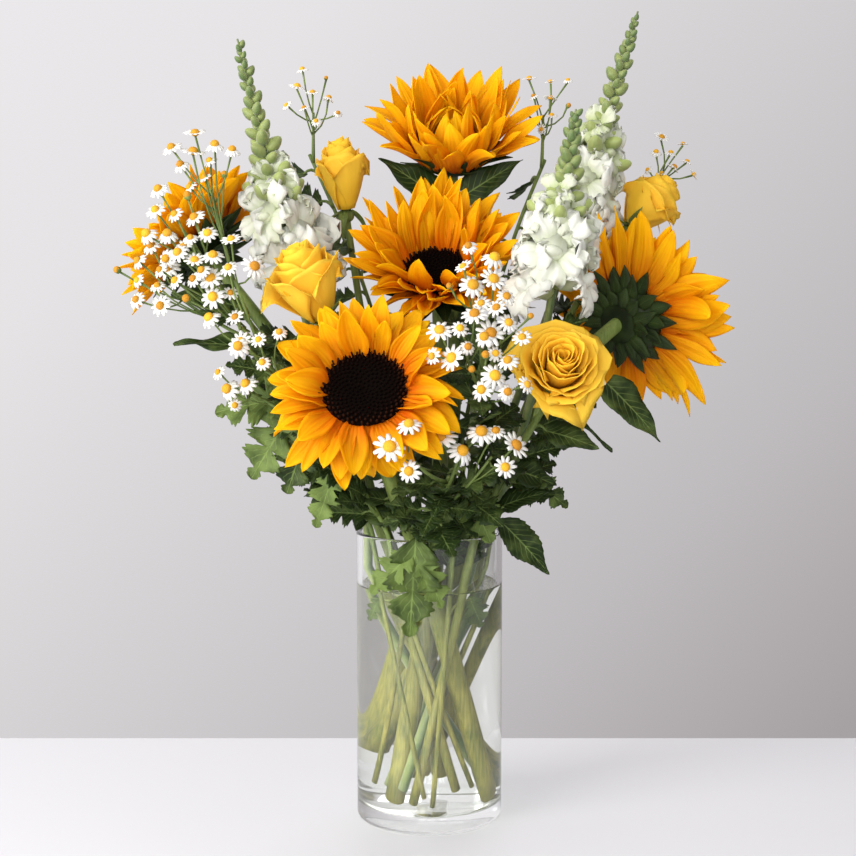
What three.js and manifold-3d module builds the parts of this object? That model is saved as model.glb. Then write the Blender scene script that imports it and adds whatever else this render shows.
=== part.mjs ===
// A clear cylinder vase of cut flowers: five sunflowers, four yellow roses, three white snapdragon
// spikes and seven sprays of feverfew daisies, standing in water.
// Millimetres, +Z up. The origin is the centre of the vase's underside on the table.

import * as THREE from 'three';
import { mergeVertices } from 'three/addons/utils/BufferGeometryUtils.js';
import Module from 'manifold-3d';

const wasm = await Module();
wasm.setup();

// ---------- driving dimensions ----------

const VASE_RADIUS = 50;
const VASE_HEIGHT = 200;
const GLASS_WALL = 3.5;
const GLASS_BASE = 12;
const BASE_ROUNDING = 3;
const VASE_SEGMENTS = 28;
const WATER_LEVEL = 162.5;
const TOUCH_GAP = 0.3;
const HOLE_CLEARANCE = 0.5;

const SLICE_STEP = 9;
const SLICE_BOTTOM = 14;
const STRAIGHT_TOP = 176;
const STEM_CLEARANCE = 1.3;
const SETTLING_ROUNDS = 400;

const PETALS_PER_SUNFLOWER = 18;
const BRACTS_PER_SUNFLOWER = 8;
const CALYX_DEPTH = 20;
const PETAL_THICKNESS = 2;
const PETAL_WIDTH = 17.5;
const BRACT_LENGTH = 27;
const BRACT_WIDTH = 11;

// Each flower's place is its centre, and facing is the way that it looks.
// A foot is where the stem stands in the vase, and a mouth is where it leaves the straight stretch.
const SUNFLOWERS = [
  {
    name: 'top', centre: [16, 62, 463], facing: [0, -0.5, 0.85],
    disc: 26, petal: 45, lift: 42, dip: -14, radius: 6, foot: [-26, 24], mouth: [14, 20], cut: 40,
  },
  {
    name: 'centre', centre: [5, 3, 376], facing: [-0.05, -0.6, 0.8],
    disc: 25, petal: 44, lift: 40, dip: 0, radius: 6, foot: [-20, -22], mouth: [0, 8], cut: 16,
  },
  {
    name: 'front', centre: [-40, -96, 304], facing: [-0.05, -0.79, 0.62],
    disc: 28, petal: 42, lift: 32, dip: 57, radius: 6.5, foot: [36, -10], mouth: [-14, -20], cut: 16,
  },
  {
    name: 'right', centre: [138, 8, 345], facing: [0.65, 0.7, 0.28],
    disc: 27, petal: 46, lift: 30, dip: 0, radius: 6.5, foot: [-36, 2], mouth: [26, 2], cut: 46,
  },
  {
    name: 'left', centre: [-161, 28, 394], facing: [-0.66, 0.25, 0.7],
    disc: 25, petal: 42, lift: 22, dip: 0, radius: 5.5, foot: [30, 22], mouth: [-24, 8], cut: 15,
  },
];

const ROSES = [
  {
    name: 'upper', base: [-58, 38, 419], facing: [-0.12, -0.1, 1],
    radius: 21, height: 47, foot: [10, 36], mouth: [-18, 24],
  },
  {
    name: 'left', base: [-70, -54, 347], facing: [-0.33, -0.25, 0.9],
    radius: 29, height: 50, foot: [22, -30], mouth: [-28, -8],
  },
  {
    name: 'front', base: [80, -66, 306], facing: [0.08, -0.86, 0.5],
    radius: 33, height: 42, foot: [-14, -34], mouth: [24, -20],
  },
  {
    name: 'right', base: [142, 52, 407], facing: [0.62, 0.1, 0.75],
    radius: 24, height: 42, foot: [-12, 36], mouth: [30, 18],
  },
];

const SNAPDRAGONS = [
  {
    name: 'left', base: [-90, -6, 372], tip: [-127, -6, 529], bloomTop: 0.52,
    foot: [38, 6], mouth: [-32, -2],
  },
  {
    name: 'right', base: [97, 38, 392], tip: [143, 38, 553], bloomTop: 0.55,
    foot: [-34, -12], mouth: [20, 30],
  },
  {
    name: 'front', base: [79, -45, 360], tip: [94, -45, 480], bloomTop: 0.66,
    foot: [-30, -20], mouth: [32, -8],
  },
];

// Each cluster of daisies is a centre, its number of heads and how far they spread.
const SPRAYS = [
  {
    name: 'left_outer', crown: [-122, -52, 352], foot: [4, -38], mouth: [-32, -18],
    clusters: [
      { at: [-147, -32, 448], heads: 4, reach: 18 },
      { at: [-160, -62, 408], heads: 4, reach: 20 },
      { at: [-182, -50, 372], heads: 3, reach: 18 },
      { at: [-150, -74, 376], heads: 4, reach: 18 },
    ],
  },
  {
    name: 'left_inner', crown: [-104, -60, 318], foot: [28, -18], mouth: [-20, -30],
    clusters: [
      { at: [-128, -78, 385], heads: 3, reach: 17 },
      { at: [-128, -66, 345], heads: 3, reach: 16 },
      { at: [-104, -74, 330], heads: 3, reach: 14 },
      { at: [-126, -60, 305], heads: 3, reach: 12 },
    ],
  },
  {
    name: 'centre_upper', crown: [34, -78, 318], foot: [-4, -30], mouth: [12, -32],
    clusters: [
      { at: [30, -98, 372], heads: 4, reach: 18 },
      { at: [20, -108, 334], heads: 4, reach: 17 },
      { at: [46, -100, 342], heads: 3, reach: 15 },
      { at: [44, -106, 312], heads: 3, reach: 15 },
    ],
  },
  {
    name: 'centre_lower', crown: [12, -80, 246], foot: [-22, 12], mouth: [-2, -34],
    clusters: [
      { at: [-18, -112, 268], heads: 3, reach: 16 },
      { at: [22, -100, 272], heads: 3, reach: 14 },
      { at: [48, -92, 270], heads: 3, reach: 13 },
    ],
  },
  {
    name: 'back_left', crown: [-84, 74, 455], foot: [6, 26], mouth: [-6, 34],
    clusters: [{ at: [-82, 72, 496], heads: 5, reach: 18 }],
  },
  {
    name: 'back_centre', crown: [82, 84, 452], foot: [-6, 18], mouth: [10, 34],
    clusters: [{ at: [82, 86, 496], heads: 5, reach: 18 }],
  },
  {
    name: 'back_right', crown: [156, 84, 425], foot: [-28, -4], mouth: [34, 8],
    clusters: [{ at: [172, 84, 452], heads: 4, reach: 16 }],
  },
];

const ROSE_STEM_RADIUS = 3;
const SNAPDRAGON_STEM_RADIUS = 3.2;
const SPRAY_STEM_RADIUS = 1.7;

// ---------- small tools ----------

const UP = new THREE.Vector3(0, 0, 1);
const vector = (list) => new THREE.Vector3(...list);
const radians = THREE.MathUtils.degToRad;

function noise(index, seed) {
  const value = Math.sin(index * 12.9898 + seed * 78.233) * 43758.5453;
  return value - Math.floor(value);
}

function jitter(index, seed, amount) {
  return (noise(index, seed) * 2 - 1) * amount;
}

// A closed geometry as a solid, its faces turned outward.
function solid(geometry) {
  const body = closedBody(geometry, false);
  return body.volume() > 0 ? body : closedBody(geometry, true);
}

function closedBody(geometry, flipped) {
  const shell = geometry.clone();
  shell.deleteAttribute('normal');
  shell.deleteAttribute('uv');
  const merged = mergeVertices(shell, 1e-4);
  const index = merged.index.array;
  const triangles = [];
  for (let i = 0; i < index.length; i += 3) {
    const [a, b, c] = [index[i], index[i + 1], index[i + 2]];
    if (a !== b && b !== c && c !== a) {
      triangles.push(a, ...(flipped ? [c, b] : [b, c]));
    }
  }
  return new wasm.Manifold(new wasm.Mesh({
    numProp: 3,
    vertProperties: new Float32Array(merged.attributes.position.array),
    triVerts: new Uint32Array(triangles),
  }));
}

function fuse(parts) {
  return parts.reduce((whole, part) => whole.add(part));
}

// Loose scraps that a union leaves behind are dropped, and the largest body is kept.
function largest(whole) {
  const bodies = whole.decompose();
  return bodies.reduce((best, body) => (body.volume() > best.volume() ? body : best));
}

// Moves every point of a geometry by a rule.
function shape(geometry, rule) {
  const position = geometry.attributes.position;
  const point = new THREE.Vector3();
  for (let i = 0; i < position.count; i += 1) {
    point.fromBufferAttribute(position, i);
    const moved = rule(point);
    position.setXYZ(i, moved.x, moved.y, moved.z);
  }
  return geometry;
}

// A frame whose z looks along a direction and whose y is as upright as that allows.
function frameAt(origin, facing) {
  const z = vector(facing).normalize();
  const x = new THREE.Vector3().crossVectors(UP, z).normalize();
  const y = new THREE.Vector3().crossVectors(z, x);
  return new THREE.Matrix4().makeBasis(x, y, z).setPosition(vector(origin));
}

// A round stem along a list of points, with a radius at each of them.
function tube(points, radii, sides) {
  const rows = points.length - 1;
  const tangents = points.map((point, i) => {
    const before = points[Math.max(i - 1, 0)];
    const after = points[Math.min(i + 1, rows)];
    return after.clone().sub(before).normalize();
  });
  const first = new THREE.Vector3(0, 1, 0);
  const sideways = [];
  tangents.forEach((tangent, i) => {
    const last = i === 0 ? first : sideways[i - 1];
    sideways.push(last.clone().addScaledVector(tangent, -last.dot(tangent)).normalize());
  });
  const geometry = new THREE.CylinderGeometry(1, 1, 1, sides, rows);
  return solid(shape(geometry, (p) => {
    const row = Math.round((p.y + 0.5) * rows);
    const across = new THREE.Vector3().crossVectors(tangents[row], sideways[row]);
    return points[row].clone()
      .addScaledVector(sideways[row], p.z * radii[row])
      .addScaledVector(across, p.x * radii[row]);
  }));
}

// A leaf-like blade: a cone flattened along a spine. The rule gives, for a share t of its length, the
// centre, the directions across and up, the half width, the half thickness and how far its edges rise.
function blade(sides, rows, rule) {
  const geometry = new THREE.ConeGeometry(1, 1, sides, rows);
  return shape(geometry, (p) => {
    const t = p.y + 0.5;
    const ring = Math.max(1 - t, 1e-9);
    const across = t > 0.999 ? 0 : p.x / ring;
    const up = t > 0.999 ? 0 : p.z / ring;
    const at = rule(t);
    return at.centre.clone()
      .addScaledVector(at.across, across * at.halfWidth)
      .addScaledVector(at.up, up * at.halfThickness + across * across * at.cup);
  });
}

// A blade that springs outward from an axis, lifted by an angle and curling by another along its length.
function rayBlade(sides, rows, ray) {
  const turn = ray.turn;
  const radial = new THREE.Vector3(Math.cos(turn), Math.sin(turn), 0);
  const across = new THREE.Vector3(Math.sin(turn), -Math.cos(turn), 0);
  return blade(sides, rows, (t) => {
    const curl = Math.abs(ray.curl) < 1e-3 ? 1e-3 : ray.curl;
    const angle = ray.lift + curl * t;
    const out = ray.length * (Math.sin(angle) - Math.sin(ray.lift)) / curl;
    const rise = ray.length * (Math.cos(ray.lift) - Math.cos(angle)) / curl;
    const centre = radial.clone().multiplyScalar(ray.start + out);
    centre.z = ray.height + rise;
    const up = radial.clone().multiplyScalar(-Math.sin(angle)).addScaledVector(UP, Math.cos(angle));
    return {
      centre, across, up,
      halfWidth: ray.width / 2 * Math.sin(Math.PI * (0.16 + 0.84 * t) ** 0.85),
      halfThickness: ray.thickness / 2,
      cup: ray.cup * t * (1 - t) * 4,
    };
  });
}

// A closed profile of [out, height] pairs turned about the z axis.
function turned(profile, segments) {
  const geometry = new THREE.LatheGeometry(profile.map((p) => new THREE.Vector2(...p)), segments);
  return geometry.rotateX(Math.PI / 2);
}

// ---------- the stems' routes ----------

// A stem runs straight from its foot to the mouth of the vase, then bends to its flower.
function plannedRoute(stem) {
  const foot = new THREE.Vector3(stem.foot[0], stem.foot[1], SLICE_BOTTOM);
  const mouth = new THREE.Vector3(stem.mouth[0], stem.mouth[1], STRAIGHT_TOP);
  const rise = mouth.clone().sub(foot).normalize();
  const reach = stem.end.distanceTo(mouth);
  const bend = new THREE.CubicBezierCurve3(
    mouth,
    mouth.clone().addScaledVector(rise, reach * 0.35),
    stem.end.clone().addScaledVector(stem.arrival, -reach * 0.3),
    stem.end,
  );
  const fine = bend.getPoints(120);
  const slices = [];
  for (let z = SLICE_BOTTOM; z < stem.end.z - SLICE_STEP * 0.6; z += SLICE_STEP) {
    if (z <= STRAIGHT_TOP) {
      slices.push(foot.clone().lerp(mouth, (z - SLICE_BOTTOM) / (STRAIGHT_TOP - SLICE_BOTTOM)));
    } else {
      const above = fine.findIndex((point) => point.z >= z);
      const low = fine[above - 1];
      const high = fine[above];
      slices.push(low.clone().lerp(high, (z - low.z) / (high.z - low.z)));
    }
  }
  return slices;
}

// Pushes the stems apart, slice by slice, until none touches another, the glass or a bloom.
function settle(stems, blooms) {
  const straight = Math.floor((STRAIGHT_TOP - SLICE_BOTTOM) / SLICE_STEP);
  stems.forEach((stem) => {
    stem.slices = plannedRoute(stem);
    stem.reach = stem.slices.map((point, k) => {
      const next = stem.slices[Math.min(k + 1, stem.slices.length - 1)];
      const last = stem.slices[Math.max(k - 1, 0)];
      const slope = Math.hypot(next.x - last.x, next.y - last.y) / Math.max(next.z - last.z, 1);
      return stem.radius * Math.sqrt(1 + slope * slope);
    });
    const full = [...stem.slices, stem.end];
    stem.bend = full.map((point, k) => {
      if (k === 0 || k === full.length - 1) {
        return new THREE.Vector2();
      }
      return new THREE.Vector2(
        (full[k - 1].x + full[k + 1].x) / 2 - point.x,
        (full[k - 1].y + full[k + 1].y) / 2 - point.y,
      );
    });
  });
  const tallest = Math.max(...stems.map((stem) => stem.slices.length));
  for (let round = 0; round < SETTLING_ROUNDS; round += 1) {
    const push = stems.map((stem) => stem.slices.map(() => new THREE.Vector2()));
    for (let k = 0; k < tallest; k += 1) {
      const z = SLICE_BOTTOM + k * SLICE_STEP;
      stems.forEach((stem, i) => {
        if (k >= stem.slices.length) {
          return;
        }
        const here = stem.slices[k];
        for (let j = i + 1; j < stems.length; j += 1) {
          if (k < stems[j].slices.length) {
            const there = stems[j].slices[k];
            const away = new THREE.Vector2(here.x - there.x, here.y - there.y);
            const wanted = stem.reach[k] + stems[j].reach[k] + STEM_CLEARANCE;
            const short = wanted - away.length();
            if (short > 0) {
              away.setLength(short * 0.35);
              push[i][k].add(away);
              push[j][k].sub(away);
            }
          }
        }
        const room = VASE_RADIUS - GLASS_WALL - stem.reach[k] - 0.8;
        const out = Math.hypot(here.x, here.y);
        if (z < VASE_HEIGHT + SLICE_STEP && out > room) {
          push[i][k].add(new THREE.Vector2(here.x, here.y).setLength(room - out));
        }
        blooms.forEach((bloom) => {
          const inside = bloom.reach ** 2 - (z - bloom.centre.z) ** 2;
          if (bloom.owner !== stem.name && inside > 0) {
            const away = new THREE.Vector2(here.x - bloom.centre.x, here.y - bloom.centre.y);
            const short = Math.sqrt(inside) + stem.reach[k] - away.length();
            if (short > 0) {
              push[i][k].add(away.setLength(short * 0.5));
            }
          }
        });
      });
    }
    stems.forEach((stem, i) => relax(stem, push[i], straight));
  }
}

// Moves one stem by its pushes: its straight stretch as a line, the rest as a springy curve.
function relax(stem, push, straight) {
  const foot = stem.slices[0];
  const mouth = stem.slices[straight];
  const footMove = new THREE.Vector2();
  const mouthMove = new THREE.Vector2();
  for (let k = 0; k <= straight; k += 1) {
    const share = k / straight;
    footMove.addScaledVector(push[k], (1 - share) * 0.5);
    mouthMove.addScaledVector(push[k], share * 0.5);
  }
  foot.set(foot.x + footMove.x, foot.y + footMove.y, foot.z);
  mouth.set(mouth.x + mouthMove.x, mouth.y + mouthMove.y, mouth.z);
  for (let k = 1; k < straight; k += 1) {
    const z = stem.slices[k].z;
    stem.slices[k].copy(foot).lerp(mouth, k / straight).setZ(z);
  }
  const last = stem.slices.length - 1;
  const full = [...stem.slices, stem.end];
  const before = full.map((point) => point.clone());
  for (let k = straight + 1; k <= last; k += 1) {
    const point = stem.slices[k];
    const wishX = (before[k - 1].x + before[k + 1].x) / 2 - stem.bend[k].x;
    const wishY = (before[k - 1].y + before[k + 1].y) / 2 - stem.bend[k].y;
    point.x += push[k].x + (wishX - before[k].x) * 0.45;
    point.y += push[k].y + (wishY - before[k].y) * 0.45;
  }
}

// A stem as a solid: one straight piece in the vase, then short steps to its end.
function stemPoints(stem) {
  const straight = Math.floor((STRAIGHT_TOP - SLICE_BOTTOM) / SLICE_STEP);
  const low = stem.slices[0];
  const high = stem.slices[straight];
  const share = (stem.cut - low.z) / (high.z - low.z);
  const points = [low.clone().lerp(high, share), high];
  for (let k = straight + 3; k < stem.slices.length - 1; k += 3) {
    points.push(stem.slices[k]);
  }
  points.push(stem.end, stem.end.clone().addScaledVector(stem.arrival, stem.sink));
  return points;
}

function pointOnStem(stem, z) {
  const route = [...stem.slices, stem.end];
  const above = route.findIndex((point) => point.z >= z);
  const low = route[above - 1];
  const high = route[above];
  return low.clone().lerp(high, (z - low.z) / (high.z - low.z));
}

function stemSolid(stem) {
  const points = stemPoints(stem);
  const last = points.length - 1;
  const radii = points.map((point, i) => stem.radius * (1 - 0.25 * i / last));
  return tube(points, radii, stem.sides);
}

// ---------- what has been placed, to bend later pieces clear of it ----------

const placed = [];

function keep(owner, body) {
  placed.push({ owner, body, box: body.boundingBox() });
  return body;
}

function boxesMeet(a, b) {
  return [0, 1, 2].every((axis) => a.min[axis] <= b.max[axis] && b.min[axis] <= a.max[axis]);
}

function isClear(body, owner) {
  const box = body.boundingBox();
  return placed.every((other) => other.owner === owner
    || !boxesMeet(box, other.box)
    || body.intersect(other.body).isEmpty());
}

// The first variation that stands clear of everything placed so far, or nothing.
function firstClear(owner, variations, make) {
  for (const variation of variations) {
    const body = make(variation);
    if (isClear(body, owner)) {
      return body;
    }
  }
  return null;
}

// ---------- sunflowers ----------

const DISC_SEGMENTS = 14;
const RECEPTACLE_DEPTH = 5;

function petalLift(flower, turn) {
  return radians(flower.lift - flower.dip * Math.max(0, -Math.sin(turn)) ** 2);
}

// The disc is a low dome with a dimple, its florets raised and sunk in a checker.
function sunflowerDisc(flower) {
  const r = flower.disc;
  const rows = [[r, 0.5], [r * 0.78, 3.6], [r * 0.5, 3.6], [r * 0.22, 1.4]];
  const profile = [[0, -RECEPTACLE_DEPTH], [r, -RECEPTACLE_DEPTH], ...rows, [0, 1.6]];
  const geometry = turned(profile, DISC_SEGMENTS);
  const step = Math.PI * 2 / DISC_SEGMENTS;
  return shape(geometry, (p) => {
    const out = Math.hypot(p.x, p.y);
    const row = rows.findIndex((entry) => Math.abs(entry[0] - out) < 0.01);
    const place = Math.round(Math.atan2(p.x, -p.y) / step);
    const raised = row > 0 ? 0.9 * (-1) ** (row + place) : 0;
    return p.clone().setZ(p.z + raised);
  });
}

function sunflowerPetals(flower, seed, frame, owner) {
  const r = flower.disc;
  const sides = PETALS_PER_SUNFLOWER / 2;
  const inner = (r + TOUCH_GAP) / Math.cos(Math.PI / sides);
  const outer = inner + 3.2;
  const profile = [
    [inner, -RECEPTACLE_DEPTH], [outer, -RECEPTACLE_DEPTH], [outer, -1.2], [inner, -1.2],
    [inner, -RECEPTACLE_DEPTH],
  ];
  const parts = [solid(turned(profile, sides).applyMatrix4(frame))];
  for (let k = 0; k < PETALS_PER_SUNFLOWER; k += 1) {
    const turn = Math.PI * 2 * k / PETALS_PER_SUNFLOWER + jitter(k, seed, 0.05);
    const upperRow = k % 2;
    const petal = firstClear(owner, [0, 8, -8, 16, -16, 24, 32, 40], (extra) => solid(rayBlade(3, 3, {
      turn,
      start: inner + 1.5,
      height: upperRow ? -2.2 : -3.8,
      lift: petalLift(flower, turn) + radians(upperRow * 15 - 4 + jitter(k, seed + 1, 4) + extra),
      curl: radians(-22 + jitter(k, seed + 2, 16)),
      length: flower.petal * (1 + jitter(k, seed + 3, 0.09)),
      width: PETAL_WIDTH,
      thickness: PETAL_THICKNESS,
      cup: 1.6,
    }).applyMatrix4(frame)));
    if (petal) {
      parts.push(petal);
    }
  }
  return largest(fuse(parts));
}

function sunflowerCalyx(flower, seed, frame) {
  const r = flower.disc;
  const top = -RECEPTACLE_DEPTH - TOUCH_GAP;
  const profile = [
    [0, top], [r + 4, top], [r * 0.86, -12], [r * 0.4, -18.5], [0, -CALYX_DEPTH - 1],
  ];
  const parts = [solid(turned(profile, BRACTS_PER_SUNFLOWER).applyMatrix4(frame))];
  for (let k = 0; k < BRACTS_PER_SUNFLOWER; k += 1) {
    const turn = Math.PI * 2 * (k + 0.5) / BRACTS_PER_SUNFLOWER + jitter(k, seed + 5, 0.08);
    parts.push(solid(rayBlade(3, 2, {
      turn,
      start: r * 0.84,
      height: -10.8,
      lift: petalLift(flower, turn) - radians(26),
      curl: radians(-28),
      length: BRACT_LENGTH + jitter(k, seed + 6, 4),
      width: BRACT_WIDTH,
      thickness: 2,
      cup: 0,
    }).applyMatrix4(frame)));
  }
  return fuse(parts);
}

// ---------- roses ----------

// Each row of rose petals: how many, the radius and height of their roots, how far out they belly, how
// high they stand and how far their lips roll outward, all as shares of the bloom's radius and height.
const ROSE_PETAL_ROWS = [
  { count: 3, root: [0.2, 0.3], belly: 0.42, top: 1, lip: 0.03, turn: 20 },
  { count: 4, root: [0.38, 0.16], belly: 0.66, top: 0.92, lip: 0.06, turn: 75 },
  { count: 5, root: [0.56, 0.04], belly: 0.84, top: 0.76, lip: 0.16, turn: 0 },
];
const ROSE_PETAL_THICKNESS = 1.4;
const FACETS_PER_ROSE_PETAL = 3;
const HIP_TOP = -1.4;
const SEPALS_PER_ROSE = 5;
const SEPAL_LENGTH = 19;
const SEPAL_WIDTH = 6.5;

// A row of petals is a scalloped bowl. Each petal laps over the next, so its outline steps in there.
function rosePetalRow(rose, row) {
  const profile = [[0, 0], [1, 1], [2, 2], [2, 3], [1, 4], [0, 4.5]];
  const segments = row.count * FACETS_PER_ROSE_PETAL;
  const [rootOut, rootHeight] = row.root;
  return shape(turned(profile, segments), (p) => {
    const level = Math.round(p.z * 2) / 2;
    const axis = level === 0 || level === 4.5;
    const v = level === 2 || level === 3 ? 1 : 0.5;
    const hollow = level >= 4;
    const place = Math.round(Math.atan2(p.x, -p.y) / (Math.PI * 2) * segments) + segments;
    const lap = (place % FACETS_PER_ROSE_PETAL) / (FACETS_PER_ROSE_PETAL - 1);
    const arch = 1 - 0.16 * v * Math.abs(lap * 2 - 1);
    const belly = hollow ? rootOut * 1.1 : row.belly + row.lip * (v * 2 - 1) + 0.07 * (lap - 0.5) * v;
    const out = axis ? 0 : rose.radius * belly - (level === 3 ? ROSE_PETAL_THICKNESS : 0);
    const turn = radians(row.turn) + Math.PI * 2 * (place + 0.3 * lap) / segments;
    const rim = rootHeight + (row.top - rootHeight) * (hollow ? 0.42 : v * v) * (hollow ? 1 : arch);
    const height = rose.height * (level === 0 ? rootHeight - 0.06 : rim);
    return new THREE.Vector3(out * Math.cos(turn), out * Math.sin(turn), height);
  });
}

function roseBloom(rose, frame) {
  const heart = [
    [0, rose.height * 0.4], [rose.radius * 0.2, rose.height * 0.5], [rose.radius * 0.18, rose.height * 0.94],
    [0, rose.height * 0.86],
  ];
  const rows = ROSE_PETAL_ROWS.map((row) => solid(rosePetalRow(rose, row).applyMatrix4(frame)));
  return largest(fuse([solid(turned(heart, 6).applyMatrix4(frame)), ...rows]));
}

function roseSepals(rose, seed, frame) {
  const hip = [[0, -9], [5.2, -4.6], [4.6, HIP_TOP], [0, HIP_TOP]];
  const parts = [solid(turned(hip, SEPALS_PER_ROSE).applyMatrix4(frame))];
  for (let k = 0; k < SEPALS_PER_ROSE; k += 1) {
    parts.push(solid(rayBlade(3, 2, {
      turn: Math.PI * 2 * (k + 0.5) / SEPALS_PER_ROSE - Math.PI / 2,
      start: 2.5,
      height: -2.2,
      lift: radians(-24),
      curl: radians(-30 + jitter(k, seed, 15)),
      length: SEPAL_LENGTH,
      width: SEPAL_WIDTH,
      thickness: 1.6,
      cup: 0,
    }).applyMatrix4(frame)));
  }
  return fuse(parts);
}

// ---------- snapdragons ----------

const FLORETS_PER_SPIKE = 8;
const BUDS_PER_SPIKE = 12;
const GOLDEN_TURN = Math.PI * (3 - Math.sqrt(5));

// A floret is a flared tube with a ruffled rim of lobes and a sunken throat.
function floret(size, tallness) {
  const geometry = new THREE.CylinderGeometry(1, 1, 1, 8, 1);
  return shape(geometry, (p) => {
    const angle = Math.atan2(p.x, p.z);
    const lobe = 1 + 0.2 * Math.cos(angle * 4);
    const edge = Math.hypot(p.x, p.z) > 0.5;
    if (p.y < 0) {
      const corner = Math.floor(Math.round(angle / Math.PI * 4) / 2) * Math.PI / 2;
      return new THREE.Vector3(Math.sin(corner), Math.cos(corner), 0).multiplyScalar(edge ? 1.5 : 0);
    }
    if (!edge) {
      return new THREE.Vector3(0, 0, tallness * 0.62);
    }
    const along = tallness * (0.92 + 0.14 * Math.cos(angle) + 0.1 * Math.cos(angle * 4));
    return new THREE.Vector3(Math.sin(angle) * size * lobe, Math.cos(angle) * size * lobe, along);
  });
}

function snapdragonSpike(spike, seed) {
  const base = vector(spike.base);
  const tip = vector(spike.tip);
  const axis = tip.clone().sub(base).normalize();
  const length = tip.distanceTo(base);
  const points = [
    base.clone().addScaledVector(axis, -2), base.clone().addScaledVector(axis, length * 0.6), tip,
  ];
  const parts = [tube(points, [3, 2.2, 0.7], 5)];
  const frame = frameAt(spike.base, axis.toArray());
  for (let k = 0; k < FLORETS_PER_SPIKE; k += 1) {
    const share = (k + 0.5) / FLORETS_PER_SPIKE;
    const turn = k * GOLDEN_TURN + seed;
    const tilt = radians(58 - 30 * share);
    const out = new THREE.Vector3(
      Math.cos(turn) * Math.sin(tilt), Math.sin(turn) * Math.sin(tilt), Math.cos(tilt),
    );
    const root = new THREE.Vector3(0, 0, length * spike.bloomTop * (share - 0.03)).addScaledVector(out, 1.6);
    const where = frameAt(root.toArray(), out.toArray()).premultiply(frame);
    parts.push(solid(floret(13 - 4.5 * share, 25 - 9 * share).applyMatrix4(where)));
  }
  for (let k = 0; k < BUDS_PER_SPIKE; k += 1) {
    const share = (k + 0.5) / BUDS_PER_SPIKE;
    const turn = k * GOLDEN_TURN + seed + 1;
    const tilt = radians(62 - 40 * share);
    const out = new THREE.Vector3(
      Math.cos(turn) * Math.sin(tilt), Math.sin(turn) * Math.sin(tilt), Math.cos(tilt),
    );
    const height = length * (spike.bloomTop - 0.08 + (1.05 - spike.bloomTop) * share);
    const size = 3.9 - 2.4 * share;
    const root = new THREE.Vector3(0, 0, height).addScaledVector(out, 1.6 - share + size * 1.9);
    const where = frameAt(root.toArray(), out.toArray()).premultiply(frame);
    const bud = new THREE.OctahedronGeometry(1, 0).scale(size, size, size * 1.9);
    parts.push(solid(bud.applyMatrix4(where)));
  }
  return largest(fuse(parts));
}

// ---------- feverfew ----------

const HEAD_RADIUS = 6.4;
const BRANCH_STEP = 11;

// A daisy on its twig: a six-rayed star that rises to a dome, drawn in below to a three-sided twig
// that ends at its fork.
function daisy(centre, facing, fork) {
  const rays = 6;
  const place = frameAt(centre.toArray(), facing.toArray());
  const geometry = new THREE.CylinderGeometry(1, 1, 1, rays * 2, 2);
  return solid(shape(geometry, (p) => {
    const axis = Math.hypot(p.x, p.z) < 0.5;
    const angle = Math.atan2(p.x, p.z);
    const step = Math.round(angle / Math.PI * rays);
    if (p.y > 0.4) {
      const out = step % 2 ? HEAD_RADIUS * 0.52 : HEAD_RADIUS;
      const star = new THREE.Vector3(Math.sin(angle) * out, Math.cos(angle) * out, 0.2);
      return (axis ? new THREE.Vector3(0, 0, 2.6) : star).applyMatrix4(place);
    }
    const corner = Math.floor((step + rays) / 4) * Math.PI * 2 / 3;
    const edge = new THREE.Vector3(Math.sin(corner), Math.cos(corner), -1.6).applyMatrix4(place);
    return p.y > -0.4 ? edge : fork.clone();
  }));
}

// The heads of one cluster lie on a shallow dome, spaced by the golden angle.
function clusterHeads(cluster, seed) {
  const middle = vector(cluster.at);
  const heads = [];
  for (let k = 0; k < cluster.heads; k += 1) {
    const out = cluster.reach * Math.sqrt((k + 0.35) / cluster.heads);
    const turn = k * GOLDEN_TURN + seed * 1.7;
    const offset = new THREE.Vector3(
      Math.cos(turn) * out, -4 - Math.abs(Math.sin(turn * 1.3)) * 8, Math.sin(turn) * out,
    );
    heads.push(middle.clone().add(offset));
  }
  return heads;
}

function spraySolid(spray, seed, stem, owner) {
  const parts = [stemSolid(stem)];
  spray.clusters.forEach((cluster, i) => {
    const middle = vector(cluster.at);
    const root = pointOnStem(stem, stem.end.z - 3 - i * BRANCH_STEP);
    const end = root.clone().lerp(middle, 0.8);
    const branch = firstClear(owner, [0, 1, 2, 3], (extra) => tube(
      [root, end.clone().add(new THREE.Vector3(0, -4 * extra, 3 * extra))], [1.3, 0.9], 3,
    ));
    if (!branch) {
      return;
    }
    parts.push(branch);
    clusterHeads(cluster, seed + i).forEach((head, k, all) => {
      const fork = root.clone().lerp(end, 0.5 + 0.46 * k / (all.length - 1));
      const whole = firstClear(owner, [0, 1, 2, 3, 4], (extra) => {
        const at = head.clone().add(new THREE.Vector3(0, -5 * extra, 4 * extra));
        const rise = at.clone().sub(fork).normalize();
        const facing = rise.clone().add(new THREE.Vector3(jitter(k, seed, 0.4), -0.7, 0.5)).normalize();
        return daisy(at, facing, fork);
      });
      if (whole) {
        parts.push(whole);
      }
    });
  });
  return largest(fuse(parts));
}

// ---------- leaves ----------

const LEAF_THICKNESS = 0.9;
const STALK_RADII = [1.3, 0.9];
const FACING_FRONT = [0, -0.8, 0.6];

// Half outlines as shares of the length and of the half width, from the stalk to the tip.
const LEAF_OUTLINES = {
  feverfew: [[0.06, 0.1], [0.24, 0.95], [0.4, 0.4], [0.55, 1], [0.66, 0.42], [0.8, 0.6], [0.9, 0.2]],
  rose: [[0.08, 0.45], [0.3, 1], [0.34, 0.84], [0.56, 0.9], [0.6, 0.74], [0.8, 0.46]],
  sunflower: [[0.03, 0.4], [0.2, 1], [0.46, 0.86], [0.72, 0.42]],
};

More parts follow.
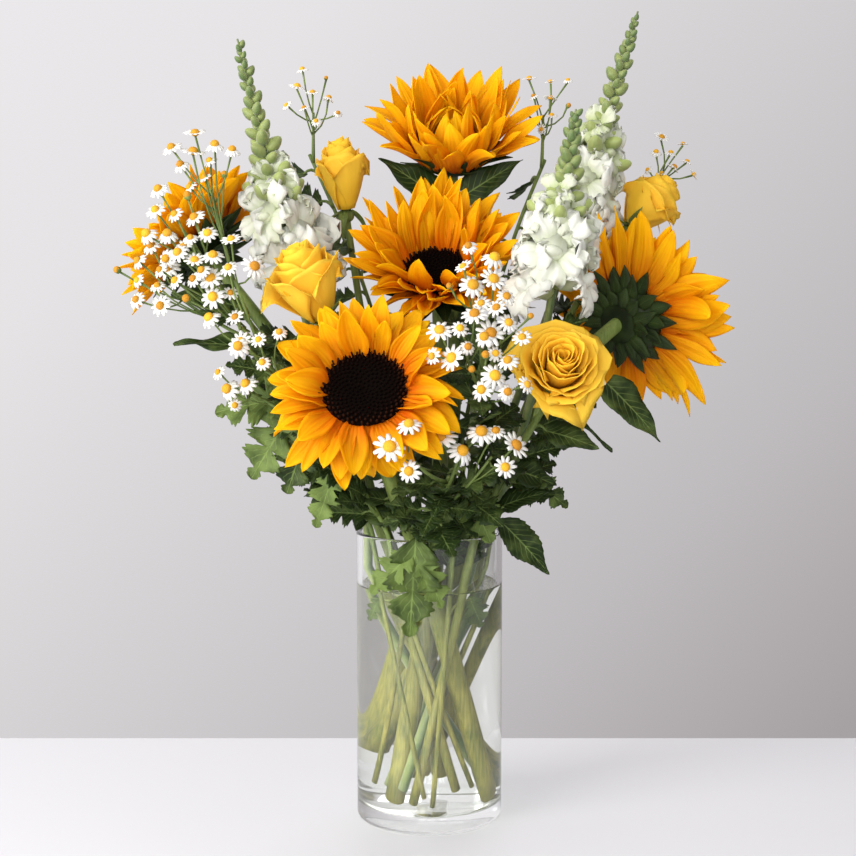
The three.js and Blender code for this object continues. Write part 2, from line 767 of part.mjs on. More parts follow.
function leafSolid(leaf, swing) {
  const root = vector(leaf.root);
  const along = vector(leaf.tip).sub(root);
  const length = along.length();
  along.normalize();
  const face = vector(leaf.face ?? FACING_FRONT).projectOnPlane(along).normalize();
  const across = new THREE.Vector3().crossVectors(face, along);
  const frame = new THREE.Matrix4().makeBasis(across, face, along).setPosition(root);
  const half = LEAF_OUTLINES[leaf.kind];
  const right = half.map(([t, w]) => new THREE.Vector2(w * leaf.width / 2, t * length));
  const left = half.map(([t, w]) => new THREE.Vector2(-w * leaf.width / 2, t * length)).reverse();
  const outline = new THREE.Shape([new THREE.Vector2(0, 0), ...right, new THREE.Vector2(0, length), ...left]);
  const geometry = new THREE.ExtrudeGeometry(outline, { depth: LEAF_THICKNESS, bevelEnabled: false });
  shape(geometry, (p) => {
    const sag = leaf.curl * length * (p.y / length) ** 2;
    return new THREE.Vector3(p.x, p.z - LEAF_THICKNESS / 2 - sag, p.y);
  });
  return solid(geometry.rotateX(radians(swing)).applyMatrix4(frame));
}

function leafWithStalk(leaf, stem, owner) {
  return firstClear(owner, [0, 10, -10, 20, -20, 32, -32], (swing) => {
    const from = pointOnStem(stem, leaf.from);
    const root = vector(leaf.root);
    const along = vector(leaf.tip).sub(root).normalize();
    const stalk = tube([from, root.clone().addScaledVector(along, 3)], STALK_RADII, 3);
    return stalk.add(leafSolid(leaf, swing));
  });
}

// Each leaf springs from its stem at the height from, and its blade runs from its root to its tip.
const LEAVES = [
  {
    owner: 'spray_left_inner', kind: 'feverfew', from: 262, root: [-95, -44, 292], tip: [-137, -46, 288],
    width: 34, curl: 0.15,
  },
  {
    owner: 'spray_left_inner', kind: 'feverfew', from: 248, root: [-92, -44, 282], tip: [-112, -50, 246],
    width: 32, curl: 0.1,
  },
  {
    owner: 'spray_left_outer', kind: 'feverfew', from: 272, root: [-96, -34, 304], tip: [-124, -34, 318],
    width: 26, curl: 0.1,
  },
  {
    owner: 'spray_left_inner', kind: 'feverfew', from: 215, root: [-62, -52, 246], tip: [-75, -56, 210],
    width: 24, curl: 0.1,
  },
  {
    owner: 'spray_centre_lower', kind: 'feverfew', from: 205, root: [-9, -58, 204], tip: [-15, -64, 140],
    width: 46, curl: 0.04,
  },
  {
    owner: 'spray_centre_upper', kind: 'feverfew', from: 214, root: [14, -50, 230], tip: [2, -66, 198],
    width: 28, curl: 0.1,
  },
  {
    owner: 'spray_centre_upper', kind: 'feverfew', from: 222, root: [26, -46, 232], tip: [40, -62, 202],
    width: 34, curl: 0.1,
  },
  {
    owner: 'rose_front_stem', kind: 'rose', from: 218, root: [50, -34, 216], tip: [88, -40, 184],
    width: 26, curl: 0.12,
  },
  {
    owner: 'rose_front_stem', kind: 'rose', from: 240, root: [54, -34, 246], tip: [86, -30, 236],
    width: 22, curl: 0.12,
  },
  {
    owner: 'snapdragon_front', kind: 'feverfew', from: 226, root: [66, 0, 236], tip: [96, 0, 216],
    width: 24, curl: 0.1,
  },
  {
    owner: 'sunflower_right_stem', kind: 'sunflower', from: 290, root: [118, -22, 302], tip: [160, -14, 262],
    width: 24, curl: 0.16, face: [-0.3, -0.7, 0.6],
  },
  {
    owner: 'sunflower_left_stem', kind: 'sunflower', from: 300, root: [-116, 24, 322], tip: [-176, 20, 332],
    width: 22, curl: 0.12, face: [0, -0.5, 0.85],
  },
  {
    owner: 'sunflower_top_stem', kind: 'sunflower', from: 300, root: [10, 62, 330], tip: [-40, 108, 350],
    width: 52, curl: 0.2, face: [-0.2, 0.4, 0.9],
  },
  {
    owner: 'sunflower_top_stem', kind: 'sunflower', from: 250, root: [22, 48, 268], tip: [60, 100, 270],
    width: 56, curl: 0.25, face: [0, 0.3, 0.95],
  },
  {
    owner: 'rose_upper_stem', kind: 'rose', from: 300, root: [-54, 54, 318], tip: [-104, 84, 332],
    width: 34, curl: 0.18, face: [-0.3, 0.3, 0.9],
  },
  {
    owner: 'rose_right_stem', kind: 'rose', from: 270, root: [82, 48, 290], tip: [118, 86, 300],
    width: 34, curl: 0.18, face: [0.3, 0.3, 0.9],
  },
  {
    owner: 'snapdragon_left', kind: 'rose', from: 230, root: [-52, 22, 246], tip: [-92, 52, 240],
    width: 30, curl: 0.18, face: [-0.3, 0.2, 0.9],
  },
];

// ---------- the vase and its water ----------

function vaseSolid() {
  const inner = VASE_RADIUS - GLASS_WALL;
  const profile = [
    [0, 0], [VASE_RADIUS - BASE_ROUNDING, 0], [VASE_RADIUS - 0.9, 0.9], [VASE_RADIUS, BASE_ROUNDING],
    [VASE_RADIUS, VASE_HEIGHT], [inner, VASE_HEIGHT], [inner, GLASS_BASE], [0, GLASS_BASE],
  ];
  return solid(turned(profile, VASE_SEGMENTS));
}

function waterSolid(stems) {
  const radius = (VASE_RADIUS - GLASS_WALL) - TOUCH_GAP;
  const low = GLASS_BASE + TOUCH_GAP;
  const profile = [[0, low], [radius, low], [radius, WATER_LEVEL], [0, WATER_LEVEL]];
  const body = solid(turned(profile, VASE_SEGMENTS));
  const holes = stems.map((stem) => {
    const [foot, mouth] = stemPoints(stem);
    const rise = mouth.clone().sub(foot).normalize();
    const bottom = foot.clone().addScaledVector(rise, -TOUCH_GAP);
    const wide = stem.radius + HOLE_CLEARANCE;
    return tube([bottom, mouth], [wide, wide], stem.sides);
  });
  return largest(body.subtract(fuse(holes)));
}

// ---------- putting the bouquet together ----------

const LOOKS = {
  glass: { color: 0xdfe9e6, roughness: 0.05, metalness: 0, transparent: true, opacity: 0.35 },
  water: { color: 0xd8e4d0, roughness: 0.02, metalness: 0, transparent: true, opacity: 0.5 },
  green: { color: 0x5d8a35, roughness: 0.6, metalness: 0 },
  sunflower: { color: 0xf7a313, roughness: 0.55, metalness: 0 },
  disc: { color: 0x2b1710, roughness: 0.85, metalness: 0 },
  rose: { color: 0xf6c53b, roughness: 0.5, metalness: 0 },
  snapdragon: { color: 0xe4ecd2, roughness: 0.55, metalness: 0 },
  feverfew: { color: 0xb9cf8c, roughness: 0.6, metalness: 0 },
};

const GREEN_LOOKS = { snapdragon: 'snapdragon', spray: 'feverfew' };

const bouquet = new THREE.Group();

function addNode(name, body, look) {
  const mesh = body.getMesh();
  const geometry = new THREE.BufferGeometry();
  geometry.setAttribute('position', new THREE.Float32BufferAttribute(mesh.vertProperties, 3));
  geometry.setIndex(new THREE.BufferAttribute(mesh.triVerts, 1));
  geometry.computeVertexNormals();
  const node = new THREE.Mesh(geometry, new THREE.MeshStandardMaterial(LOOKS[look]));
  node.name = name;
  bouquet.add(node);
}

function stemFor(name, plan, end, arrival, radius, sides, sink) {
  return {
    name, end, arrival, radius, sides, sink,
    foot: plan.foot, mouth: plan.mouth, cut: plan.cut ?? 16 + noise(plan.foot[0], 3) * 14,
  };
}

const stems = [];
SUNFLOWERS.forEach((flower) => {
  const facing = vector(flower.facing).normalize();
  const end = vector(flower.centre).addScaledVector(facing, -CALYX_DEPTH);
  stems.push(stemFor(`sunflower_${flower.name}_stem`, flower, end, facing, flower.radius, 6, 3));
});
ROSES.forEach((rose) => {
  const facing = vector(rose.facing).normalize();
  const end = vector(rose.base).addScaledVector(facing, -8);
  stems.push(stemFor(`rose_${rose.name}_stem`, rose, end, facing, ROSE_STEM_RADIUS, 5, 3));
});
SNAPDRAGONS.forEach((spike) => {
  const axis = vector(spike.tip).sub(vector(spike.base)).normalize();
  const end = vector(spike.base);
  stems.push(stemFor(`snapdragon_${spike.name}`, spike, end, axis, SNAPDRAGON_STEM_RADIUS, 5, 2));
});
SPRAYS.forEach((spray) => {
  const crown = vector(spray.crown);
  const arrival = new THREE.Vector3(crown.x * 0.006, crown.y * 0.006, 1).normalize();
  stems.push(stemFor(`spray_${spray.name}`, spray, crown, arrival, SPRAY_STEM_RADIUS, 3, 1));
});

const blooms = [
  ...SUNFLOWERS.map((flower) => ({
    owner: `sunflower_${flower.name}_stem`, reach: flower.disc + 9,
    centre: vector(flower.centre).addScaledVector(vector(flower.facing).normalize(), -8),
  })),
  ...ROSES.map((rose) => ({
    owner: `rose_${rose.name}_stem`, reach: rose.radius + 2,
    centre: vector(rose.base).addScaledVector(vector(rose.facing).normalize(), rose.height / 2),
  })),
  ...ROSES.map((rose) => ({ owner: `rose_${rose.name}_stem`, reach: 16, centre: vector(rose.base) })),
  ...SNAPDRAGONS.flatMap((spike) => [0.1, 0.3, 0.5].map((share) => ({
    owner: `snapdragon_${spike.name}`, reach: 22,
    centre: vector(spike.base).lerp(vector(spike.tip), share),
  }))),
];

settle(stems, blooms);
const stemNamed = Object.fromEntries(stems.map((stem) => [stem.name, stem]));
const greens = {};

keep('vase', vaseSolid());
SUNFLOWERS.forEach((flower, i) => {
  const name = `sunflower_${flower.name}`;
  const frame = frameAt(flower.centre, flower.facing);
  const stem = stemSolid(stemNamed[`${name}_stem`]);
  greens[`${name}_stem`] = stem.add(sunflowerCalyx(flower, i * 10, frame));
  keep(`${name}_stem`, greens[`${name}_stem`]);
  addNode(`${name}_disc`, keep(`${name}_disc`, solid(sunflowerDisc(flower).applyMatrix4(frame))), 'disc');
});
ROSES.forEach((rose, i) => {
  const name = `rose_${rose.name}`;
  const frame = frameAt(rose.base, rose.facing);
  greens[`${name}_stem`] = stemSolid(stemNamed[`${name}_stem`]).add(roseSepals(rose, i * 7, frame));
  keep(`${name}_stem`, greens[`${name}_stem`]);
  addNode(`${name}_bloom`, keep(`${name}_bloom`, roseBloom(rose, frame)), 'rose');
});
SNAPDRAGONS.forEach((spike, i) => {
  const name = `snapdragon_${spike.name}`;
  greens[name] = stemSolid(stemNamed[name]).add(snapdragonSpike(spike, i));
  keep(name, greens[name]);
});
SPRAYS.forEach((spray) => {
  keep(`spray_${spray.name}`, stemSolid(stemNamed[`spray_${spray.name}`]));
});
SUNFLOWERS.forEach((flower, i) => {
  const name = `sunflower_${flower.name}_petals`;
  const frame = frameAt(flower.centre, flower.facing);
  addNode(name, keep(name, sunflowerPetals(flower, i * 10 + 2, frame, name)), 'sunflower');
});
SPRAYS.forEach((spray, i) => {
  const name = `spray_${spray.name}`;
  greens[name] = spraySolid(spray, i * 3, stemNamed[name], name);
  keep(name, greens[name]);
});
LEAVES.forEach((leaf) => {
  const body = leafWithStalk(leaf, stemNamed[leaf.owner], leaf.owner);
  if (body) {
    greens[leaf.owner] = greens[leaf.owner].add(body);
    keep(leaf.owner, body);
  }
});
Object.entries(greens).forEach(([name, body]) => {
  const family = name.split('_')[0];
  addNode(name, largest(body), family in GREEN_LOOKS ? GREEN_LOOKS[family] : 'green');
});
addNode('vase', vaseSolid(), 'glass');
addNode('water', waterSolid(stems), 'water');

export default bouquet;
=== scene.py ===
"""A clear cylinder vase of cut flowers: sunflowers, yellow roses, white snapdragons and feverfew daisies.

Shapes are laid out in millimetres around the vase's centre line and become metres when a piece is
finished. The flowers' places and the stems' routes are those of the solids that the pieces stand for.
"""

import functools
import math

import bmesh
import bpy
import numpy as np
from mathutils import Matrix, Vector


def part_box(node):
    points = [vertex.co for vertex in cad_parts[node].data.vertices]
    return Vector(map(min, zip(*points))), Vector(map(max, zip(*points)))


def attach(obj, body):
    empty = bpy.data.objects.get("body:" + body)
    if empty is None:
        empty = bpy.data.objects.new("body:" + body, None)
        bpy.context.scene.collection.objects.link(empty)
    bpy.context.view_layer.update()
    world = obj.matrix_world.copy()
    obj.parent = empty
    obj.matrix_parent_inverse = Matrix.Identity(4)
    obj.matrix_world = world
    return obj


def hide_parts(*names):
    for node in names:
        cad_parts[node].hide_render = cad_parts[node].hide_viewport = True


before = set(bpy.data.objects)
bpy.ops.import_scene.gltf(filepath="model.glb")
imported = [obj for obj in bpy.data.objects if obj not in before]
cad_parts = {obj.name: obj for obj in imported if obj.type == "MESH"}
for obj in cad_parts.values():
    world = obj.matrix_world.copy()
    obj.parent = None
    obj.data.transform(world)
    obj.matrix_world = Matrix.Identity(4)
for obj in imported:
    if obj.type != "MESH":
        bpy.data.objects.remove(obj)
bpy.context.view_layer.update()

bl_info = {
    "name": "Sunflower bouquet",
    "version": (1, 0, 0),
    "blender": (4, 5, 0),
    "location": "3D View > Sidebar > Bouquet",
    "description": "Builds a glass vase of sunflowers, roses, snapdragons and feverfew",
    "category": "Add Mesh",
}

MM = 0.001
UP = np.array([0.0, 0.0, 1.0])
GOLDEN_TURN = math.pi * (3 - math.sqrt(5))

# ---------- driving dimensions, in millimetres ----------

_, VASE_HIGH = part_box("vase")
VASE_RADIUS = round(VASE_HIGH.x / MM, 1)
VASE_HEIGHT = round(VASE_HIGH.z / MM, 1)
GLASS_WALL = 3.5
GLASS_BASE = 12
FOOT_ROUNDING = 5
RIM_ROUNDING = 1.6
INNER_ROUNDING = 3.5
GLASS_IOR = 1.46
GLASS_SMEARS = 0.004
WATER_LEVEL = 162.5
WATER_IOR = 1.33
WATER_INTO_GLASS = 0.15
MENISCUS = 1.6

SLICE_STEP = 9
SLICE_BOTTOM = 14
STRAIGHT_TOP = 176
STRAIGHT_ROWS = (STRAIGHT_TOP - SLICE_BOTTOM) // SLICE_STEP
STEM_CLEARANCE = 1.3
GLASS_CLEARANCE = 0.8
SETTLING_ROUNDS = 400
LEAVING_PULL = 0.35
ARRIVING_PULL = 0.3
SHORTEST_LAST_STEP = 0.6
STEM_TAPER = 0.25
SIDE_PUSH = 0.35
BLOOM_PUSH = 0.5
LINE_PUSH = 0.5
SPRING = 0.45
CALYX_DEPTH = 20
HIP_DEPTH = 8
RECEPTACLE_DEPTH = 5
ROSE_STEM_RADIUS = 3
SNAPDRAGON_STEM_RADIUS = 3.2
SPRAY_STEM_RADIUS = 1.7

PETAL_WIDTH = 15.5
PETAL_THICKNESS = 0.5
BRACTS = 39
BRACT_WIDTH = 10
SEPALS = 5
DAISY_RAYS = 11
CLUSTER_SPREAD = 1.25
LOWEST_SPRIG = 207
SPRIG_LENGTH = 30
SPRIG_STALK = 8
SPRIGS_A_STEM = {"sunflower_green": 6, "rose_green": 5, "snapdragon": 8, "feverfew": 20}

# Columns across and rows along each kind of slab, and segments and rings of each kind of ball.
PETAL_GRID = (8, 12)
BRACT_GRID = (4, 7)
ROSE_PETAL_GRID = (12, 10)
LOBE_GRID = (10, 6)
DAISY_RAY_GRID = (2, 3)
LEAF_GRID = (8, 54)
SPRIG_GRID = (4, 28)
DISC_BALL = (40, 12)
HIP_BALL = (14, 8)
THROAT_BALL = (10, 6)
BUD_BALL = (8, 6)
DAISY_HEART_BALL = (8, 5)
DAISY_CUP_BALL = (6, 4)

# Angles are in degrees. A sunflower's petals are petal times long in length and dense times the usual number.
# They are lifted from the disc's plane by lift, less dip on the near side. The back ones are lifted more by
# rise, and all others by its share stand. Close shuts the inner layers over the disc, and drop sets their
# roots lower. The cup's bracts are bract long and pressed to the petals by snug. A stem stands at its foot,
# leaves the straight stretch at its mouth and is cut off at the height cut.
SUNFLOWERS = [
    dict(name="top", centre=(16, 62, 463), facing=(0, -0.5, 0.85), disc=26,
         radius=6, foot=(-26, 24), mouth=(14, 20), cut=40, petal=45, long=1.07, dense=1.4,
         lift=42, dip=-7, rise=22, stand=0.62, close=0.95, drop=4.5, bract=22, snug=20),
    dict(name="centre", centre=(5, 3, 376), facing=(-0.05, -0.6, 0.8), disc=25,
         radius=6, foot=(-20, -22), mouth=(0, 8), cut=16, petal=44, long=1.06, dense=1.2,
         lift=40, dip=20, rise=26, stand=0.4, close=0.06, drop=0, bract=22, snug=8),
    dict(name="front", centre=(-40, -96, 304), facing=(-0.05, -0.79, 0.62), disc=28,
         radius=6.5, foot=(36, -10), mouth=(-14, -20), cut=16, petal=42, long=0.93, dense=1.0,
         lift=32, dip=57, rise=6, stand=0, close=0, drop=0, bract=22, snug=0),
    dict(name="right", centre=(138, 8, 345), facing=(0.65, 0.7, 0.28), disc=27,
         radius=6.5, foot=(-36, 2), mouth=(26, 2), cut=46, petal=46, long=1.03, dense=1.35,
         lift=30, dip=0, rise=0, stand=0, close=0, drop=0, bract=16, snug=4),
    dict(name="left", centre=(-161, 28, 394), facing=(-0.66, 0.25, 0.7), disc=25,
         radius=5.5, foot=(30, 22), mouth=(-24, 8), cut=15, petal=42, long=0.95, dense=1.35,
         lift=22, dip=0, rise=8, stand=0.3, close=0.3, drop=0, bract=20, snug=4),
]

# A rose is open by a share, from a bud at 0 to a full bloom at 1.
ROSES = [
    dict(name="upper", open=0.35, base=(-58, 38, 419), facing=(-0.12, -0.1, 1), radius=21, height=47,
         foot=(10, 36), mouth=(-18, 24)),
    dict(name="left", open=0.5, base=(-70, -54, 347), facing=(-0.33, -0.25, 0.9), radius=29, height=50,
         foot=(22, -30), mouth=(-28, -8)),
    dict(name="front", open=1.0, base=(80, -66, 306), facing=(0.08, -0.86, 0.5), radius=33, height=42,
         foot=(-14, -34), mouth=(24, -20)),
    dict(name="right", open=0.9, base=(142, 52, 407), facing=(0.62, 0.1, 0.75), radius=24, height=42,
         foot=(-12, 36), mouth=(30, 18)),
]

# The florets are open up to the share bloom_top of the spike.
SNAPDRAGONS = [
    dict(name="left", base=(-90, -6, 372), tip=(-127, -6, 529), bloom_top=0.44, florets=10, foot=(38, 6),
         mouth=(-32, -2)),
    dict(name="right", base=(97, 38, 392), tip=(143, 38, 553), bloom_top=0.5, florets=12, foot=(-34, -12),
         mouth=(20, 30)),
    dict(name="front", base=(79, -45, 360), tip=(94, -45, 480), bloom_top=0.52, florets=9, foot=(-30, -20),
         mouth=(32, -8)),
]

# Each cluster of daisies is a centre, the solids' number of heads, which full multiplies, and a reach. A head
# is head across.
SPRAYS = [
    dict(name="left_outer", head=6.8, full=2.6, crown=(-122, -52, 352), foot=(4, -38), mouth=(-32, -18),
         clusters=[((-147, -32, 448), 4, 18), ((-160, -62, 408), 4, 20), ((-182, -50, 372), 3, 18),
                   ((-150, -74, 376), 4, 18)]),
    dict(name="left_inner", head=6.8, full=1.35, crown=(-104, -60, 318), foot=(28, -18), mouth=(-20, -30),
         clusters=[((-128, -78, 385), 3, 17), ((-128, -66, 345), 3, 16), ((-104, -74, 330), 3, 14),
                   ((-126, -60, 305), 3, 12)]),
    dict(name="centre_upper", head=7.2, full=2.1, crown=(34, -78, 318), foot=(-4, -30), mouth=(12, -32),
         clusters=[((30, -98, 372), 4, 18), ((20, -108, 334), 4, 17), ((46, -100, 342), 3, 15),
                   ((44, -106, 312), 3, 15)]),
    dict(name="centre_lower", head=8.4, full=1.0, crown=(12, -80, 246), foot=(-22, 12), mouth=(-2, -34),
         clusters=[((-18, -112, 268), 3, 16), ((22, -100, 272), 3, 14), ((48, -92, 270), 3, 13)]),
    dict(name="back_left", head=4.8, full=1.8, crown=(-84, 74, 455), foot=(6, 26), mouth=(-6, 34),
         clusters=[((-82, 72, 496), 5, 18)]),
    dict(name="back_centre", head=4.8, full=1.8, crown=(82, 84, 452), foot=(-6, 18), mouth=(10, 34),
         clusters=[((82, 86, 496), 5, 18)]),
    dict(name="back_right", head=4.6, full=2.4, crown=(156, 84, 425), foot=(-28, -4), mouth=(34, 8),
         clusters=[((172, 84, 452), 4, 16)]),
]

# Each lobe of a snapdragon's floret: its turn, length, width, lift off the floret's mouth and curl.
FLORET_LOBES = [(58, 0.6, 0.76, 66, -70), (122, 0.6, 0.76, 66, -70), (205, 0.5, 0.64, 48, -85),
                (270, 0.56, 0.7, 42, -100), (335, 0.5, 0.64, 48, -85)]

FRONT = (0, -0.8, 0.6)
LEAF_PALENESS = {"feverfew": 0.62, "rose": 0.12, "sunflower": 0.15}
LEAF_SWEEP = {"feverfew": 0.28, "rose": 0.08, "sunflower": 0.0}


def leaf(kind, start, root, tip, width, curl=0.1, pale=None, face=FRONT):
    """A leaf that springs from its stem at the height start, with a blade from its root to its tip."""
    paleness = LEAF_PALENESS[kind] if pale is None else pale
    return dict(kind=kind, start=start, root=root, tip=tip, width=width, curl=curl, pale=paleness, face=face)


# The large leaves of each stem. A leaf varies by its place in its list, so the order counts.
# A leaf's pale share is partly its kind's own tone and partly painted light and shade: paler for lit leaves
# at the front, darker deep in the dense neck of the bouquet.
LEAVES = {
    "spray_left_inner": [
        leaf("feverfew", 262, (-92, -44, 293), (-141, -46, 288), 42, 0.15),
        leaf("feverfew", 248, (-90, -44, 284), (-118, -50, 242), 40),
        leaf("feverfew", 240, (-80, -46, 270), (-94, -52, 232), 34, pale=0.5),
        leaf("feverfew", 215, (-62, -52, 246), (-75, -56, 210), 24),
        leaf("feverfew", 152, (-30, -24, 158), (-38, -18, 140), 13, 0.2, pale=0.35),
    ],
    "spray_left_outer": [
        leaf("feverfew", 272, (-96, -34, 304), (-124, -34, 318), 26),
    ],
    "spray_centre_lower": [
        leaf("feverfew", 205, (-9, -58, 204), (-13, -64, 139), 40, 0.04),
        leaf("feverfew", 203, (-11, -58, 194), (-39, -61, 168), 26, 0.06, pale=0.75),
        leaf("feverfew", 201, (-6, -59, 190), (9, -62, 158), 24, 0.06, pale=0.55),
        leaf("feverfew", 168, (2, -20, 176), (4, -10, 208), 30, 0.05, pale=0.05),
    ],
    "spray_centre_upper": [
        leaf("feverfew", 214, (14, -50, 230), (2, -66, 198), 28),
        leaf("feverfew", 222, (26, -46, 232), (40, -62, 202), 34),
        leaf("feverfew", 282, (28, -64, 296), (12, -50, 328), 32, pale=0.1),
        leaf("feverfew", 288, (36, -64, 302), (50, -46, 338), 32, pale=0.05),
        leaf("feverfew", 296, (33, -62, 316), (30, -46, 352), 30, pale=0.1),
        leaf("feverfew", 262, (38, -58, 276), (58, -42, 290), 30, pale=0.05),
        leaf("feverfew", 150, (24, -28, 160), (33, -26, 138), 22, pale=0.3),
        leaf("feverfew", 170, (12, -24, 178), (20, -28, 210), 30, 0.05, pale=0.1),
    ],
    "snapdragon_front": [
        leaf("feverfew", 300, (56, -28, 314), (40, -20, 346), 30, pale=0.05),
        leaf("feverfew", 168, (28, -10, 178), (32, -6, 208), 26, 0.05, pale=0.05),
        leaf("feverfew", 226, (66, 0, 236), (96, 0, 216), 24),
    ],
    "spray_back_centre": [
        leaf("feverfew", 170, (22, 14, 180), (28, 10, 210), 30, 0.05, pale=0.05),
    ],
    "spray_back_left": [
        leaf("feverfew", 172, (-8, 20, 182), (-10, 14, 210), 28, 0.05, pale=0.1),
    ],
    "rose_front_stem": [
        leaf("rose", 218, (46, -34, 212), (82, -40, 178), 25, 0.16),
        leaf("sunflower", 268, (76, -46, 288), (125, -46, 272), 6, 0.3, pale=0.1, face=(0.35, -0.3, 0.9)),
        leaf("rose", 240, (54, -34, 246), (86, -30, 236), 22, 0.12),
    ],
    "sunflower_right_stem": [
        leaf("sunflower", 290, (118, -22, 302), (160, -14, 262), 24, 0.16, face=(-0.3, -0.7, 0.6)),
    ],
    "sunflower_left_stem": [
        leaf("sunflower", 300, (-116, 24, 322), (-176, 20, 332), 22, 0.12, face=(0, -0.5, 0.85)),
        leaf("sunflower", 318, (-124, 14, 350), (-172, -4, 364), 27, 0.12, pale=0.05, face=(0, -0.8, 0.6)),
    ],
    "sunflower_top_stem": [
        leaf("sunflower", 412, (9, 62, 426), (-34, 48, 455), 25, 0.08, pale=0.02, face=(0, -0.9, 0.4)),
        leaf("sunflower", 416, (24, 62, 428), (64, 48, 454), 25, 0.08, pale=0.02, face=(0, -0.9, 0.4)),
        leaf("sunflower", 300, (10, 62, 330), (-40, 108, 350), 52, 0.2, face=(-0.2, 0.4, 0.9)),
        leaf("sunflower", 250, (22, 48, 268), (60, 100, 270), 56, 0.25, face=(0, 0.3, 0.95)),
    ],
    "rose_upper_stem": [
        leaf("rose", 300, (-54, 54, 318), (-104, 84, 332), 34, 0.18, face=(-0.3, 0.3, 0.9)),
    ],
    "rose_right_stem": [
        leaf("rose", 270, (82, 48, 290), (118, 86, 300), 34, 0.18, face=(0.3, 0.3, 0.9)),
    ],
    "snapdragon_left": [
        leaf("rose", 230, (-52, 22, 246), (-92, 52, 240), 30, 0.18, face=(-0.3, 0.2, 0.9)),
    ],
}

# ---------- the camera and the stage, in metres ----------

LENS = 71.5
SENSOR = 36
CAMERA_PLACE = (-0.0009, -1.1509, 0.38776)
CAMERA_TILT = 84.142
TABLE_SIZE = (3.6, 2.4, 0.04)
TABLE_BACK = 0.184
TABLE_COLOUR = (0.70, 0.70, 0.72)
WALL_SLOPE = (-1.0, 0.0, 1.0)
# Painted light on the wall, from dark at the bottom right to bright at the top left.
WALL_PAINTED_LIGHT = [(0.0, (0.38, 0.355, 0.362)), (0.2, (0.52, 0.50, 0.515)), (0.7, (0.79, 0.77, 0.785)),
               (1.0, (0.86, 0.84, 0.86))]
LAMPS = [
    dict(name="window", place=(-1.1, -0.9, 0.78), target=(0, 0, 0.34), size=0.8, power=18,
         colour=(1, 0.99, 0.97)),
    dict(name="front", place=(-0.2, -1.8, 0.6), target=(0, 0, 0.4), size=0.9, power=14, colour=(1, 1, 1)),
    dict(name="back", place=(0.7, 1.6, 1.4), target=(0, 0, 0.35), size=1.2, power=8, colour=(1, 1, 1)),
]

# ---------- colours that have no setting ----------

PETAL_GLOW = (1.0, 0.48, 0.01)
DISC_STOPS = [(0.0, (0.004, 0.002, 0.0013)), (0.45, (0.0025, 0.0012, 0.001)), (0.75, (0.006, 0.002, 0.0013))]
DISC_TIP = (0.25, 0.10, 0.02)
CUP_PALE = (0.05, 0.085, 0.018)
CUP_DARK = (0.009, 0.016, 0.004)
STEM_COLOURS = {"green_stem": ((0.20, 0.26, 0.06), (0.07, 0.11, 0.02)),
                "green_twig": ((0.20, 0.27, 0.07), (0.06, 0.10, 0.02))}
# Colours of the stems low in the water: partly their own yellowish tint and partly painted light, paler as if
# strongly lit low in the vase.
WATER_LIT_STEM_PALE = (0.37, 0.33, 0.08)
WATER_LIT_STEM_DARK = (0.06, 0.09, 0.015)
DAISY_RAY_STOPS = [(0.0, (0.72, 0.76, 0.55)), (0.3, (0.93, 0.93, 0.9))]
DAISY_GLOW = (0.9, 0.92, 0.84)
DAISY_HEART_STOPS = [(0.2, (0.48, 0.19, 0.004)), (0.75, (0.86, 0.46, 0.015))]


# ---------- numbers that vary without being random ----------

def noise(index, seed):
    value = math.sin(index * 12.9898 + seed * 78.233) * 43758.5453
    return value - math.floor(value)


def jitter(index, seed, amount):
    return (noise(index, seed) * 2 - 1) * amount


# ---------- vectors and frames ----------

def unit(vector):
    vector = np.asarray(vector, float)
    length = np.linalg.norm(vector)
    return vector / length if length else vector


def axes_at(facing):
    """Three axes as rows: the third looks along facing, and the second is as upright as that allows."""
    z = unit(facing)
    x = unit(np.cross(UP, z))
    return np.array([x, np.cross(z, x), z])


def axes_between(along, face):
    """Axes of a leaf: across it, towards its face and along it."""
    along = unit(along)
    face = unit(np.asarray(face, float) - along * np.dot(face, along))
    return np.array([np.cross(face, along), face, along])


def settle_in(points, origin, axes):
    return np.asarray(origin, float) + points @ axes


def leaning(turn, tilt):
    return np.array([math.cos(turn) * math.sin(tilt), math.sin(turn) * math.sin(tilt), math.cos(tilt)])


# ---------- small shapes, made once and repeated ----------

class Shape:
    """A small mesh that is copied many times, with its points and the marks for its material."""

    def __init__(self, mesh, marks=None):
        self.mesh = mesh
        points = np.empty(len(mesh.vertices) * 3)
        mesh.vertices.foreach_get("co", points)
        self.points = points.reshape(-1, 3)
        self.marks = self.points[:, :2].copy() if marks is None else marks


def finished(mesh):
    """A closed bmesh as a Shape, its faces turned outward."""
    bmesh.ops.recalc_face_normals(mesh, faces=mesh.faces)
    data = bpy.data.meshes.new("shape")
    mesh.to_mesh(data)
    mesh.free()
    return Shape(data)


@functools.cache
def slab(columns, rows, pointed=True):
    """A thin plate: x runs from -1 to 1 across it, y from 0 to 1 along it, and z from 0 to 1 through it."""
    mesh = bmesh.new()
    bmesh.ops.create_grid(mesh, x_segments=columns, y_segments=rows, size=1)
    bmesh.ops.translate(mesh, verts=mesh.verts, vec=(0, 1, 0))
    bmesh.ops.scale(mesh, verts=mesh.verts, vec=(1, 0.5, 1))
    if pointed:
        tip = [vertex for vertex in mesh.verts if vertex.co.y > 0.999]
        bmesh.ops.pointmerge(mesh, verts=tip, merge_co=(0, 1, 0))
    top = bmesh.ops.extrude_face_region(mesh, geom=mesh.faces[:])
    raised = [item for item in top["geom"] if isinstance(item, bmesh.types.BMVert)]
    bmesh.ops.translate(mesh, verts=raised, vec=(0, 0, 1))
    return finished(mesh)


